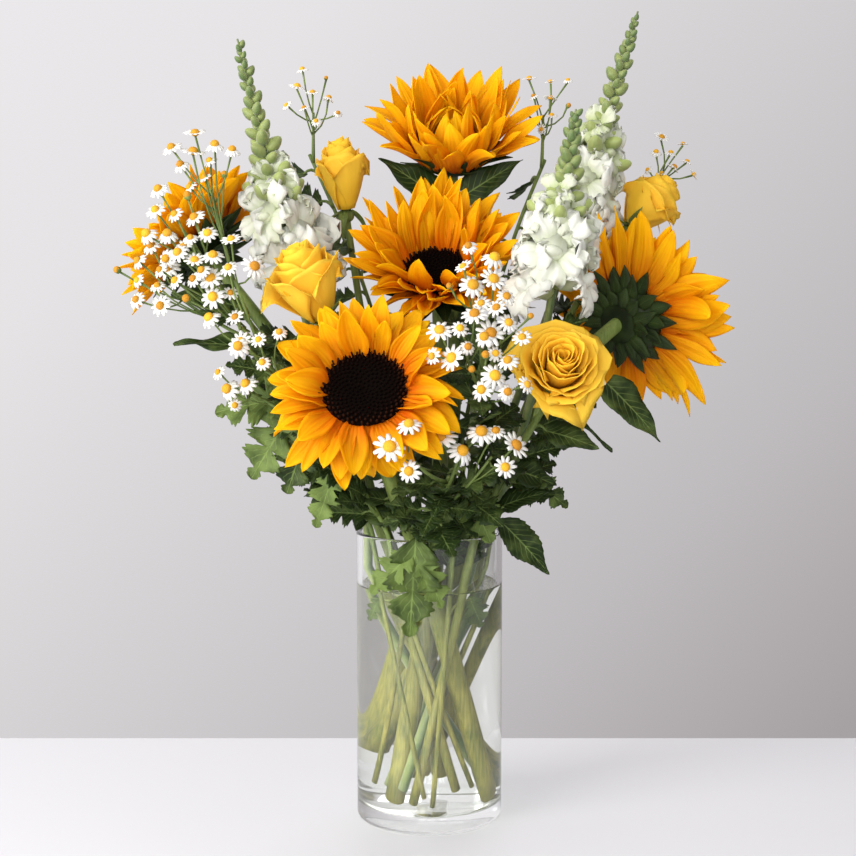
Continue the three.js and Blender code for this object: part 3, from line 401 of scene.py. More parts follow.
@functools.cache
def rod(sides, rows, top=1.0):
    """A closed rod round the z axis, from 0 to 1 high, with a radius of 1 below and of top above."""
    mesh = bmesh.new()
    bmesh.ops.create_cone(mesh, cap_ends=True, segments=sides, radius1=1, radius2=top, depth=1)
    bmesh.ops.translate(mesh, verts=mesh.verts, vec=(0, 0, 0.5))
    if rows > 1:
        upright = [edge for edge in mesh.edges if abs(edge.verts[0].co.z - edge.verts[1].co.z) > 0.5]
        bmesh.ops.subdivide_edges(mesh, edges=upright, cuts=rows - 1, use_grid_fill=True)
    return finished(mesh)


@functools.cache
def ball(segments, rings):
    mesh = bmesh.new()
    bmesh.ops.create_uvsphere(mesh, u_segments=segments, v_segments=rings, radius=1)
    return finished(mesh)


def turned(profile, steps=128):
    """A closed body turned round the z axis from a profile of [out, height] pairs that ends on the axis."""
    mesh = bmesh.new()
    points = [mesh.verts.new((out, 0, height)) for out, height in profile]
    edges = [mesh.edges.new(pair) for pair in zip(points, points[1:])]
    bmesh.ops.spin(mesh, geom=points + edges, cent=(0, 0, 0), axis=(0, 0, 1), dvec=(0, 0, 0),
                   angle=math.tau, steps=steps, use_merge=True, use_duplicate=False)
    bmesh.ops.remove_doubles(mesh, verts=mesh.verts, dist=1e-4)
    return finished(mesh)


class Growth:
    """A piece in the making: copies of shapes, each laid out by a rule on its points."""

    def __init__(self):
        self.mesh = bmesh.new()
        self.places = []
        self.marks = []

    def add(self, shape, rule, vary=0.0, at=None):
        """Adds one copy with its own number, vary. Its rule may work at an origin with axes of its own."""
        self.mesh.from_mesh(shape.mesh)
        places = rule(shape.points)
        self.places.append(settle_in(places, *at) if at else places)
        self.marks.append(np.column_stack([shape.marks, np.full(len(shape.points), vary)]))

    def data(self, name, scale=1.0):
        """The mesh, with each point's place across and along its part and the part's own number."""
        data = bpy.data.meshes.new(name)
        self.mesh.to_mesh(data)
        self.mesh.free()
        places = np.concatenate(self.places) * scale
        data.vertices.foreach_set("co", places.astype(np.float32).ravel())
        growth = data.attributes.new("growth", "FLOAT_VECTOR", "POINT")
        growth.data.foreach_set("vector", np.concatenate(self.marks).astype(np.float32).ravel())
        data.update()
        return data

    def as_shape(self):
        marks = np.concatenate(self.marks)[:, :2]
        data = self.data("shape")
        data.attributes.remove(data.attributes["growth"])
        return Shape(data, marks)

    def piece(self, name, finish, slot, nodes):
        """Makes the object, in metres, in place of nodes of the solids."""
        data = self.data(name, MM)
        data.shade_smooth()
        data.materials.append(finish)
        body = bpy.data.objects.new(name, data)
        bpy.context.scene.collection.objects.link(body)
        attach(body, "root")
        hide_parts(*nodes)


def sweep(points, radii):
    """A rule that lays a rod along a list of points, with a radius at each of them."""
    points = np.asarray(points, float)
    radii = np.asarray(radii, float)
    last = len(points) - 1
    side = np.array([0.0, 1.0, 0.0])
    sides, across = [], []
    for i in range(last + 1):
        tangent = unit(points[min(i + 1, last)] - points[max(i - 1, 0)])
        side = unit(side - tangent * np.dot(side, tangent))
        sides.append(side)
        across.append(np.cross(tangent, side))
    sides, across = np.array(sides), np.array(across)

    def rule(p):
        row = np.rint(p[:, 2] * last).astype(int)
        x = (p[:, 0] * radii[row])[:, None]
        y = (p[:, 1] * radii[row])[:, None]
        return points[row] + sides[row] * x + across[row] * y

    return rule


def grow_rod(growth, points, radii, sides, vary=0.0, slant=0.0):
    """Grows a rod along a list of points, and cuts its foot by a slant, which is 0 for a square cut."""
    laid = sweep(points, radii)

    def rule(p):
        places = laid(p)
        places[:, 2] += np.where(p[:, 2] < 1e-3, (p[:, 0] + 1) * radii[0] * slant, 0)
        return places

    growth.add(rod(sides, len(points) - 1), rule, vary)


def grow_stem(growth, stem, sides, vary=0.0):
    points, radii = stem.route()
    grow_rod(growth, points, radii, sides, vary, 0.5)


def arc(start, end, bow, steps=4):
    """Points from start to end that bow out by a vector halfway."""
    start, end, bow = (np.asarray(v, float) for v in (start, end, bow))
    shares = np.linspace(0, 1, steps + 1)
    return [start + (end - start) * t + bow * 4 * t * (1 - t) for t in shares]


# ---------- the stems' routes ----------

def at_height(route, z):
    """The point where a route that rises passes the height z."""
    above = int(np.argmax(route[:, 2] >= z))
    low, high = route[above - 1], route[above]
    return low + (high - low) * (z - low[2]) / (high[2] - low[2])


def smooth_path(knots, steps):
    """A smooth path through the knots, with a number of steps between each two."""
    padded = [2 * knots[0] - knots[1], *knots, 2 * knots[-1] - knots[-2]]
    path = [knots[0]]
    for a, b, c, d in zip(padded, padded[1:], padded[2:], padded[3:]):
        for t in np.linspace(0, 1, steps + 1)[1:]:
            path.append(0.5 * (2 * b + (c - a) * t + (2 * a - 5 * b + 4 * c - d) * t ** 2
                               + (3 * b - a - 3 * c + d) * t ** 3))
    return path


class Stem:
    """A stem's route, as one point for each level slice through the bouquet, and then its end."""

    def __init__(self, plan, end, arrival, radius, sink):
        self.end = np.asarray(end, float)
        self.arrival = unit(arrival)
        self.radius = radius
        self.sink = sink
        self.foot = np.array([*plan["foot"], SLICE_BOTTOM], float)
        self.mouth = np.array([*plan["mouth"], STRAIGHT_TOP], float)
        self.cut = plan.get("cut", 16 + noise(plan["foot"][0], 3) * 14)
        self.slices = self.planned()

    def planned(self):
        """The route straight from the foot to the vase's mouth, then in a bend to the flower."""
        rise = unit(self.mouth - self.foot)
        reach = np.linalg.norm(self.end - self.mouth)
        knots = [self.mouth, self.mouth + rise * reach * LEAVING_PULL,
                 self.end - self.arrival * reach * ARRIVING_PULL, self.end]
        shares = np.linspace(0, 1, 121)[:, None]
        rest = 1 - shares
        bend = (knots[0] * rest ** 3 + knots[1] * 3 * rest ** 2 * shares
                + knots[2] * 3 * rest * shares ** 2 + knots[3] * shares ** 3)
        route = []
        for z in np.arange(SLICE_BOTTOM, self.end[2] - SLICE_STEP * SHORTEST_LAST_STEP, SLICE_STEP):
            share = (z - SLICE_BOTTOM) / (STRAIGHT_TOP - SLICE_BOTTOM)
            straight = self.foot + (self.mouth - self.foot) * share
            route.append(straight if z <= STRAIGHT_TOP else at_height(bend, z))
        return np.array(route)

    def point_at(self, z):
        return at_height(np.vstack([self.slices, self.end]), z)

    def route(self):
        """Points and radii from the cut foot to the flower, on the same line as the solid stem."""
        low, high = self.slices[0], self.slices[STRAIGHT_ROWS]
        foot = low + (high - low) * ((self.cut - low[2]) / (high[2] - low[2]))
        knots = np.array([foot, high, *self.slices[STRAIGHT_ROWS + 3:-1:3], self.end,
                          self.end + self.arrival * self.sink])
        radii = self.radius * (1 - STEM_TAPER * np.arange(len(knots)) / (len(knots) - 1))
        straight = [foot + (high - foot) * t for t in np.linspace(0, 1, 9)]
        points = straight[:-1] + smooth_path(knots[1:], 3)
        return points, np.interp([p[2] for p in points], knots[:, 2], radii)


def pushed_out(away, gap, short):
    """Pushes along the vectors away, whose lengths are gap, by the amounts short."""
    return away / np.maximum(gap, 1e-9)[..., None] * short[..., None]


def settle(stems, blooms):
    """Pushes the stems apart, slice by slice, until none touches another, the glass or a bloom."""
    names, stems = list(stems), list(stems.values())
    tallest = max(len(stem.slices) for stem in stems)
    count = len(stems)
    heights = SLICE_BOTTOM + SLICE_STEP * np.arange(tallest)
    place = np.zeros((count, tallest + 1, 2))
    bend = np.zeros((count, tallest + 1, 2))
    reach = np.zeros((count, tallest))
    there = np.zeros((count, tallest), bool)
    for i, stem in enumerate(stems):
        length = len(stem.slices)
        full = np.vstack([stem.slices, stem.end])
        place[i, :length + 1] = full[:, :2]
        there[i, :length] = True
        bend[i, 1:length] = (full[:-2, :2] + full[2:, :2]) / 2 - full[1:-1, :2]
        following = stem.slices[np.minimum(np.arange(length) + 1, length - 1)]
        leading = stem.slices[np.maximum(np.arange(length) - 1, 0)]
        run = np.hypot(*(following - leading)[:, :2].T)
        slope = run / np.maximum((following - leading)[:, 2], 1)
        reach[i, :length] = stem.radius * np.sqrt(1 + slope ** 2)
    wanted = reach[:, None] + reach[None] + STEM_CLEARANCE
    pairs = there[:, None] & there[None] & ~np.eye(count, dtype=bool)[:, :, None]
    room = VASE_RADIUS - GLASS_WALL - reach - GLASS_CLEARANCE
    for _ in range(SETTLING_ROUNDS):
        here = place[:, :tallest]
        away = here[:, None] - here[None]
        gap = np.linalg.norm(away, axis=3)
        push = pushed_out(away, gap, np.where(pairs & (wanted > gap), wanted - gap, 0) * SIDE_PUSH).sum(1)
        out = np.linalg.norm(here, axis=2)
        over = there & (heights < VASE_HEIGHT + SLICE_STEP) & (out > room)
        push += np.where(over[..., None], pushed_out(here, out, room - out), 0)
        for owner, centre, radius in blooms:
            inside = radius ** 2 - (heights - centre[2]) ** 2
            others = np.array([name != owner for name in names])[:, None] & (inside > 0) & there
            away = here - np.asarray(centre[:2])
            gap = np.linalg.norm(away, axis=2)
            short = np.sqrt(np.maximum(inside, 0)) + reach - gap
            use = others & (short > 0)
            push += np.where(use[..., None], pushed_out(away, gap, short * BLOOM_PUSH), 0)
        for i, stem in enumerate(stems):
            relax(place[i], bend[i], push[i], len(stem.slices))
    for i, stem in enumerate(stems):
        stem.slices[:, :2] = place[i, :len(stem.slices)]


def relax(place, bend, push, length):
    """Moves one stem by its pushes: its straight stretch as a line, the rest as a springy curve."""
    straight = slice(0, STRAIGHT_ROWS + 1)
    shares = (np.arange(STRAIGHT_ROWS + 1) / STRAIGHT_ROWS)[:, None]
    foot = place[0] + (push[straight] * (1 - shares)).sum(0) * LINE_PUSH
    mouth = place[STRAIGHT_ROWS] + (push[straight] * shares).sum(0) * LINE_PUSH
    place[straight] = foot + (mouth - foot) * shares
    before = place[:length + 1].copy()
    k = np.arange(STRAIGHT_ROWS + 1, length)
    wish = (before[k - 1] + before[k + 1]) / 2 - bend[k]
    place[k] += push[k] + (wish - before[k]) * SPRING


@functools.cache
def make_stems():
    """Every stem by the name of its node."""
    stems = {}
    for flower in SUNFLOWERS:
        facing = unit(flower["facing"])
        end = np.array(flower["centre"]) - facing * CALYX_DEPTH
        stems[f"sunflower_{flower['name']}_stem"] = Stem(flower, end, facing, flower["radius"], 3)
    for rose in ROSES:
        facing = unit(rose["facing"])
        end = rose["base"] - facing * HIP_DEPTH
        stems[f"rose_{rose['name']}_stem"] = Stem(rose, end, facing, ROSE_STEM_RADIUS, 3)
    for spike in SNAPDRAGONS:
        axis = np.subtract(spike["tip"], spike["base"])
        stems[f"snapdragon_{spike['name']}"] = Stem(spike, spike["base"], axis, SNAPDRAGON_STEM_RADIUS, 2)
    for spray in SPRAYS:
        x, y, _ = spray["crown"]
        arrival = (x * 0.006, y * 0.006, 1)
        stems[f"spray_{spray['name']}"] = Stem(spray, spray["crown"], arrival, SPRAY_STEM_RADIUS, 1)
    settle(stems, bloom_spheres())
    return stems


@functools.cache
def bloom_spheres():
    """The round space that each bloom keeps clear of other flowers' stems."""
    spheres = []
    for flower in SUNFLOWERS:
        centre = np.array(flower["centre"]) - unit(flower["facing"]) * 8
        spheres.append((f"sunflower_{flower['name']}_stem", centre, flower["disc"] + 9))
    for rose in ROSES:
        centre = np.array(rose["base"]) + unit(rose["facing"]) * rose["height"] / 2
        spheres.append((f"rose_{rose['name']}_stem", centre, rose["radius"] + 2))
    for rose in ROSES:
        spheres.append((f"rose_{rose['name']}_stem", np.array(rose["base"], float), 16))
    for spike in SNAPDRAGONS:
        base, tip = np.array(spike["base"], float), np.array(spike["tip"], float)
        name = f"snapdragon_{spike['name']}"
        spheres += [(name, base + (tip - base) * share, 22) for share in (0.1, 0.3, 0.5)]
    return spheres


# ---------- shader maths ----------

class Value:
    """A shader value: arithmetic on it adds Math nodes."""

    def __init__(self, finish, socket):
        self.finish = finish
        self.socket = socket

    def math(self, operation, *others):
        values = dict(enumerate((self, *others)))
        return self.finish.node("ShaderNodeMath", {"operation": operation}, values)

    def __add__(self, other):
        return self.math("ADD", other)

    def __mul__(self, other):
        return self.math("MULTIPLY", other)

    def __sub__(self, other):
        return self.math("SUBTRACT", other)

    def __rsub__(self, other):
        return self.math("MULTIPLY_ADD", -1, other)

    def __pow__(self, other):
        return self.math("POWER", other)

    def at_least(self, least):
        return self.math("MAXIMUM", least)

    def at_most(self, most):
        return self.math("MINIMUM", most)


class Finish:
    """A material, or the world behind the piece, and the nodes that make it."""

    def __init__(self, name, world=False):
        self.owner = (bpy.data.worlds if world else bpy.data.materials).new(name)
        self.owner.use_nodes = True
        self.nodes = self.owner.node_tree.nodes
        self.links = self.owner.node_tree.links
        self.nodes.clear()
        self.output = self.nodes.new("ShaderNodeOutputWorld" if world else "ShaderNodeOutputMaterial")

    def node(self, kind, settings=None, inputs=None, output=0):
        """Adds a node, sets its settings and then its inputs, and returns one of its outputs."""
        node = self.nodes.new(kind)
        for name, setting in (settings or {}).items():
            if name == "stops":
                self.stops(node.color_ramp, setting)
            else:
                setattr(node, name, setting)
        for name, given in (inputs or {}).items():
            if isinstance(given, Value):
                self.links.new(given.socket, node.inputs[name])
            else:
                node.inputs[name].default_value = given
        return Value(self, node.outputs[output])

    @staticmethod
    def stops(ramp, stops):
        while len(ramp.elements) < len(stops):
            ramp.elements.new(0.5)
        for element, (place, colour) in zip(ramp.elements, stops):
            element.position = place
            element.color = (*colour, 1)

    def parts(self, vector):
        """The three numbers of a vector."""
        split = self.node("ShaderNodeSeparateXYZ", inputs={0: vector})
        return [Value(self, socket) for socket in split.socket.node.outputs]

    def growth(self):
        """The part's own marks: how far across it, how far along it, and the part's number."""
        return self.parts(self.node("ShaderNodeAttribute", {"attribute_name": "growth"}, output=1))

    def place(self):
        """Object coordinates, in metres."""
        return self.node("ShaderNodeTexCoord", output=3)

    def cloud(self, scale, detail, vector=None):
        """Noise from 0 to 1. The scale is in waves for each metre, or for each unit of a vector."""
        return self.node("ShaderNodeTexNoise", inputs={
            "Scale": scale, "Detail": detail, "Vector": vector or self.place()})

    def streaks(self, marks, scales, detail):
        """Noise on the part's marks, by how fast it changes across, along and from part to part."""
        scaled = {i: mark * scale for i, (mark, scale) in enumerate(zip(marks, scales))}
        return self.cloud(1.0, detail, self.node("ShaderNodeCombineXYZ", inputs=scaled))

    def ramp(self, value, stops):
        return self.node("ShaderNodeValToRGB", {"stops": stops}, {0: value})

    def mix(self, share, low, high):
        inputs = {0: share, 6: self.colour(low), 7: self.colour(high)}
        return self.node("ShaderNodeMix", {"data_type": "RGBA"}, inputs, output=2)

    @staticmethod
    def colour(shade):
        """A shader value as it is, or a plain colour made opaque."""
        return shade if isinstance(shade, Value) else (*shade, 1)

    def surface(self, base_color, relief=None, **inputs):
        """A Principled surface. Its relief is a height, a distance in metres and a strength."""
        named = {name.replace("_", " ").title().replace("Ior", "IOR"): inputs[name] for name in inputs}
        named["Base Color"] = self.colour(base_color)
        if relief:
            bump = dict(zip(("Height", "Distance", "Strength"), relief))
            named["Normal"] = self.node("ShaderNodeBump", inputs=bump)
        return self.node("ShaderNodeBsdfPrincipled", inputs=named)

    def done(self, shader, glow=None, share=0.0):
        """Ends the finish. A thin part lets a share of the light through, in the colour glow."""
        if glow:
            through = self.node("ShaderNodeBsdfTranslucent", inputs={0: self.colour(glow)})
            shader = self.node("ShaderNodeMixShader", inputs={0: share, 1: shader, 2: through})
        self.links.new(shader.socket, self.output.inputs["Surface"])
        return self.owner


# ---------- finishes ----------

def sunflower_petal_finish(settings):
    finish = Finish("sunflower_petal")
    marks = finish.growth()
    across, along, vary = marks
    streaks = finish.streaks(marks, (6, 1.2, 40), 2)
    depth = along + (streaks - 0.5) * 0.7 + (vary - 0.5) * 0.25
    root, tip = settings.petal_root[:], settings.petal_tip[:]
    middle = tuple(a * 0.5 + b * 0.5 for a, b in zip(root, tip))
    # The deep orange by the root is partly the petals' own colour and partly painted shade at the roots, by
    # the disc.
    colour = finish.ramp(depth, [(0.05, root), (0.42, middle), (0.88, tip)])
    blush = finish.cloud(60, 2)
    colour = finish.mix(((blush - 0.4) * 0.8).at_least(0), colour, root)
    grooves = (across * 20).math("SINE")
    # Painted shade: the root's deep orange is laid into the grooves, as shade in the creases, fading towards
    # the tip.
    colour = finish.mix((grooves - 0.3).at_least(0) * (1 - along) * 0.4, colour, root)
    relief = (grooves * 0.6 + streaks) * (1 - along)
    body = finish.surface(colour, (relief, 0.0005, 0.7), roughness=0.6, specular_ior_level=0.12)
    return finish.done(body, PETAL_GLOW, 0.4)


def disc_finish(settings):
    finish = Finish("sunflower_disc")
    _, along, vary = finish.growth()
    grain = finish.cloud(900, 2)
    colour = finish.ramp(vary + (grain - 0.5) * 0.12, [*DISC_STOPS, (0.93, settings.disc[:])])
    tips = finish.mix((along - 0.75) * (vary ** 6) * 0.9, colour, DISC_TIP)
    return finish.done(finish.surface(tips, (grain, 0.0004, 0.6), roughness=0.9, specular_ior_level=0.03))


@functools.cache
def stem_finish(name):
    """Stems are green above. Where they stand in the water they are paler and yellower: partly their own tint
    there and partly painted light, as if strongly lit low in the vase.
    """
    pale, dark = STEM_COLOURS[name]
    finish = Finish(name)
    blotch = finish.cloud(45, 3)
    here = finish.place()
    stretch = {0: here, 1: (900, 900, 40)}
    fibres = finish.cloud(1.0, 4, finish.node("ShaderNodeVectorMath", {"operation": "MULTIPLY"}, stretch))
    _, _, height = finish.parts(here)
    colour = finish.ramp(blotch * 0.6 + fibres * 0.4, [(0.35, dark), (0.65, pale)])
    # Painted light in part: the stems in the water are made paler and yellower.
    submerged_and_lit = finish.ramp(blotch * 0.5 + fibres * 0.5, [(0.32, WATER_LIT_STEM_DARK), (0.66, WATER_LIT_STEM_PALE)])
    up = (height * 9 - 1.1 + blotch * 0.5).at_least(0).at_most(1)
    shade = finish.mix(up, submerged_and_lit, colour)
    return finish.done(finish.surface(shade, (fibres, 0.0003, 0.5), roughness=0.5, specular_ior_level=0.3))


def leaf_finish(name, pale, dark):
    finish = Finish(name)
    across, along, vary = finish.growth()
    off = across.math("ABSOLUTE")
    side = ((along * 9 - off * 2.4).math("FRACT") - 0.5).math("ABSOLUTE")
    veins = (1 - side * 9).at_least(0) * (1 - off) + (1 - off * 14).at_least(0)
    blotch = finish.cloud(90, 4)
    # For the leaves, the part's own number is the pale share, which carries painted light and shade as well
    # as each leaf's own tone.
    colour = finish.ramp(blotch + (vary - 0.5) * 0.8, [(0.25, dark), (0.8, pale)])
    paler = tuple(min(1, c * 1.7 + 0.02) for c in pale)
    colour = finish.mix(veins.at_most(1) * 0.55, colour, paler)
    relief = (blotch * 0.5 - veins, 0.0005, 0.6)
    return finish.done(finish.surface(colour, relief, roughness=0.5, specular_ior_level=0.22), pale, 0.25)


def rose_petal_finish(settings):
    finish = Finish("rose_petal")
    marks = finish.growth()
    _, along, vary = marks
    cloud = finish.cloud(70, 3)
    veins = finish.streaks(marks, (8, 1.6, 30), 4)
    pale = along * 0.45 + vary * 0.45 + (cloud - 0.5) * 0.35 + (veins - 0.5) * 0.2
    outside = settings.outside[:]
    colour = finish.ramp(pale, [(0.12, settings.heart[:]), (0.8, outside)])
    body = finish.surface(colour, (veins, 0.0004, 0.5), roughness=0.55, specular_ior_level=0.15)
    return finish.done(body, outside, 0.24)


def snapdragon_finish(settings):
    finish = Finish("snapdragon_floret")
    marks = finish.growth()
    _, along, vary = marks
    veins = finish.streaks(marks, (7, 2, 30), 4)
    share = along + (veins - 0.5) * 0.3 - (vary - 0.25) * 0.6
    lobes = settings.lobes[:]
    colour = finish.ramp(share, [(0.1, settings.throat[:]), (0.8, lobes)])
    body = finish.surface(colour, (veins, 0.0005, 0.6), roughness=0.55, specular_ior_level=0.3,
                          sheen_weight=0.25)
    return finish.done(body, lobes, 0.3)


def bud_finish(settings):
    finish = Finish("snapdragon_bud")
    _, along, vary = finish.growth()
    cloud = finish.cloud(260, 3)
    share = (along + 1) * 0.25 + cloud * 0.3 + (0.75 - vary) * 0.6
    stops = [(0.25, settings.bud_root[:]), (0.6, settings.bud[:]), (1.0, settings.throat[:])]
    colour = finish.ramp(share, stops)
    return finish.done(finish.surface(colour, (cloud, 0.0004, 0.4), roughness=0.5, sheen_weight=0.3))


def daisy_ray_finish():
    finish = Finish("daisy_ray")
    marks = finish.growth()
    _, along, _ = marks
    streaks = finish.streaks(marks, (6, 2, 50), 3)
    colour = finish.ramp(along + (streaks - 0.5) * 0.5, DAISY_RAY_STOPS)
    body = finish.surface(colour, (streaks, 0.0002, 0.4), roughness=0.55, specular_ior_level=0.3)
    return finish.done(body, DAISY_GLOW, 0.25)


def daisy_heart_finish():
    finish = Finish("daisy_heart")
    _, _, vary = finish.growth()
    grain = finish.cloud(1600, 2)
    colour = finish.ramp(grain * 0.5 + vary * 0.5, DAISY_HEART_STOPS)
    return finish.done(finish.surface(colour, (grain, 0.0005, 0.8), roughness=0.75))


def clear_finish(name, ior, tint, smears=0.0):
    """Glass or water: it bends what is seen through it and lets the lamps' light straight in."""
    finish = Finish(name)
    roughness = finish.cloud(35, 2) * smears if smears else 0.0
    body = finish.surface(tint, roughness=roughness, ior=ior, transmission_weight=1.0)
    through = finish.node("ShaderNodeBsdfTransparent", inputs={0: finish.colour(tint)})
    lamps = finish.node("ShaderNodeLightPath", output=1)
    return finish.done(finish.node("ShaderNodeMixShader", inputs={0: lamps, 1: body, 2: through}))


def table_finish(colour):
    """White, with painted shade: a little darker to the right, away from the window lamp."""
    finish = Finish("white_table")
    right, _, _ = finish.parts(finish.place())
    # Painted shade that deepens to the right, with a little mottling.
    share = right * 1.5 + finish.cloud(3, 2) * 0.15
    darker = tuple(c * 0.8 for c in colour)
    shade = finish.mix(share.at_least(0).at_most(1), colour, darker)
    return finish.done(finish.surface(shade, roughness=0.45, specular_ior_level=0.3))


# ---------- sunflowers ----------

def petal_outline(t):
    return np.sin(np.pi * (0.1 + 0.9 * t) ** 1.04) ** 0.76


def bract_outline(t):
    return np.sin(np.pi * (0.22 + 0.78 * t) ** 0.75)


def ray(turn, start, height, lift, curl, length, width, thickness, cup=0.0, groove=0.0, twist=0.0,
        sway=0.0, wave=0.0, outline=petal_outline):
    """A rule for a petal that springs outward from the z axis, lifted by one angle and curling by another."""
    curl = curl if abs(curl) > 1e-3 else 1e-3
    radial = np.array([math.cos(turn), math.sin(turn), 0.0])
    sideways = np.array([math.sin(turn), -math.cos(turn), 0.0])

    def rule(p):
        x, t, z = p.T
        angle = lift + curl * t
        out = start + length * (np.sin(angle) - math.sin(lift)) / curl
        rise = height + length * (math.cos(lift) - np.cos(angle)) / curl
        half = width / 2 * np.maximum(outline(t), 0)
        side = x * half
        up = cup * half * x ** 2 + groove * np.cos(x * math.pi * 2.5) * np.sin(math.pi * t)
        up += wave * np.sin(t * 9 + x * 2 + turn * 7) * np.abs(x) * np.sin(math.pi * t)
        up += (z - 0.5) * thickness
        spin = twist * t
        side, up = side * np.cos(spin) - up * np.sin(spin), side * np.sin(spin) + up * np.cos(spin)
        side = side + sway * length * t ** 2
        normal = -radial * np.sin(angle)[:, None] + UP * np.cos(angle)[:, None]
        return radial * out[:, None] + UP * rise[:, None] + sideways * side[:, None] + normal * up[:, None]

    return rule


def petal_lift(flower, turn):
    return math.radians(flower["lift"] - flower["dip"] * max(0, -math.sin(turn)) ** 2)


def sunflower_petals(flower, seed, petals):
    """Three layers of petals: the back ones stand up, and the innermost may close over the disc."""
    growth = Growth()
    place = flower["centre"], axes_at(flower["facing"])
    petals = round(petals * flower["dense"])
    for k in range(petals):
        turn = math.tau * k / petals + jitter(k, seed, 0.07)
        layer = k % 3
        back, front = max(0, math.sin(turn)), max(0, 0.45 - math.sin(turn)) / 1.45
        if flower["close"] > 0.9:
            front = 0.35 + 0.65 * front
        close = flower["close"] * front * (0, 0.35, 1)[layer]
        droop = front ** 2 * (flower["dip"] > 20)
        rise = flower["rise"] * (flower["stand"] + (1 - flower["stand"]) * back)
        lift = math.radians(layer * 9 - 8 + rise + 40 * close + jitter(k, seed + 1, 12))
        curl = -22 + layer * 8 + jitter(k, seed + 2, 34) - 14 * droop + rise + 90 * close
        reach = flower["long"] - layer * 0.06 + flower["rise"] * back * 0.006 - 0.28 * close
        rule = ray(
            turn, flower["disc"] - 1.5 - layer * 1.2, -4.2 + layer * 1.3 - flower["drop"],
            petal_lift(flower, turn) + lift, math.radians(curl),
            flower["petal"] * reach * (1 + jitter(k, seed + 3, 0.13)),
            PETAL_WIDTH + jitter(k, seed + 4, 4), PETAL_THICKNESS, cup=0.36 + jitter(k, seed + 5, 0.4),
            groove=0.6, twist=jitter(k, seed + 6, 0.9), sway=jitter(k, seed + 7, 0.2), wave=1.2,
        )
        growth.add(slab(*PETAL_GRID), rule, noise(k, seed + 8), place)
    return growth


def sunflower_disc(flower, seed, florets):
    """A low dimpled dome covered with florets in a spiral, taller and open at its rim."""
    growth = Growth()
    place = flower["centre"], axes_at(flower["facing"])
    radius = flower["disc"]
    inside = radius - 0.6

    def dome(out):
        share = out / radius
        return 4.2 * np.sin(np.minimum(share * 1.25, 1) * math.pi / 2) * (1 - 0.75 * share ** 5) + 0.6

    def bed(p):
        out = np.hypot(p[:, 0], p[:, 1])
        height = np.where(p[:, 2] > 0, dome(out * inside) - 1.2, -RECEPTACLE_DEPTH * np.abs(p[:, 2]))
        return np.column_stack([p[:, 0] * inside, p[:, 1] * inside, height])

    growth.add(ball(*DISC_BALL), bed, 0.2, place)
    for k in range(florets):
        share = math.sqrt((k + 0.5) / florets)
        turn = k * GOLDEN_TURN
        out = share * (radius - 0.8)
        tall = 1.5 + 2.6 * share ** 5 + jitter(k, seed, 0.3)
        wide = 0.95 + 0.25 * share
        lean = 0.5 * share ** 4 + jitter(k, seed + 1, 0.12)
        root = (math.cos(turn) * out, math.sin(turn) * out, float(dome(out)) - 1.4)
        tilt = axes_at((math.cos(turn) * lean, math.sin(turn) * lean + 1e-6, 1))
        growth.add(rod(5, 1, 0.45), lambda p: settle_in(p * (wide, wide, tall), root, tilt), share, place)
    return growth


def sunflower_cup(flower, seed):
    """The green cup behind the disc with its pointed bracts."""
    growth = Growth()
    place = flower["centre"], axes_at(flower["facing"])
    radius, snug = flower["disc"], flower["snug"]

    def cup(p):
        height = np.where(p[:, 2] > 0, -RECEPTACLE_DEPTH, -RECEPTACLE_DEPTH - 15 * np.abs(p[:, 2]) ** 1.4)
        return np.column_stack([p[:, 0] * radius, p[:, 1] * radius, height])

    bed = ball(*DISC_BALL)
    growth.add(Shape(bed.mesh, np.tile((0.5, 0.0), (len(bed.points), 1))), cup, 0.3, place)
    for k in range(BRACTS):
        turn = math.tau * k / BRACTS + jitter(k, seed + 5, 0.1)
        out, height, open_by = ((0.5, -17.5, 34), (0.74, -13, 22), (0.88, -9.4, 10))[k % 3]
        rule = ray(
            turn, radius * out, height,
            petal_lift(flower, turn) - math.radians(open_by - snug + jitter(k, seed + 7, 9)),
            math.radians(-14 + snug + jitter(k, seed + 8, 30)), flower["bract"] + jitter(k, seed + 6, 5),
            BRACT_WIDTH, 0.6, cup=0.3, twist=jitter(k, seed + 9, 0.5), sway=jitter(k, seed + 10, 0.2),
            outline=bract_outline,
        )
        growth.add(slab(*BRACT_GRID), rule, 0.5, place)
    return growth


# ---------- roses ----------

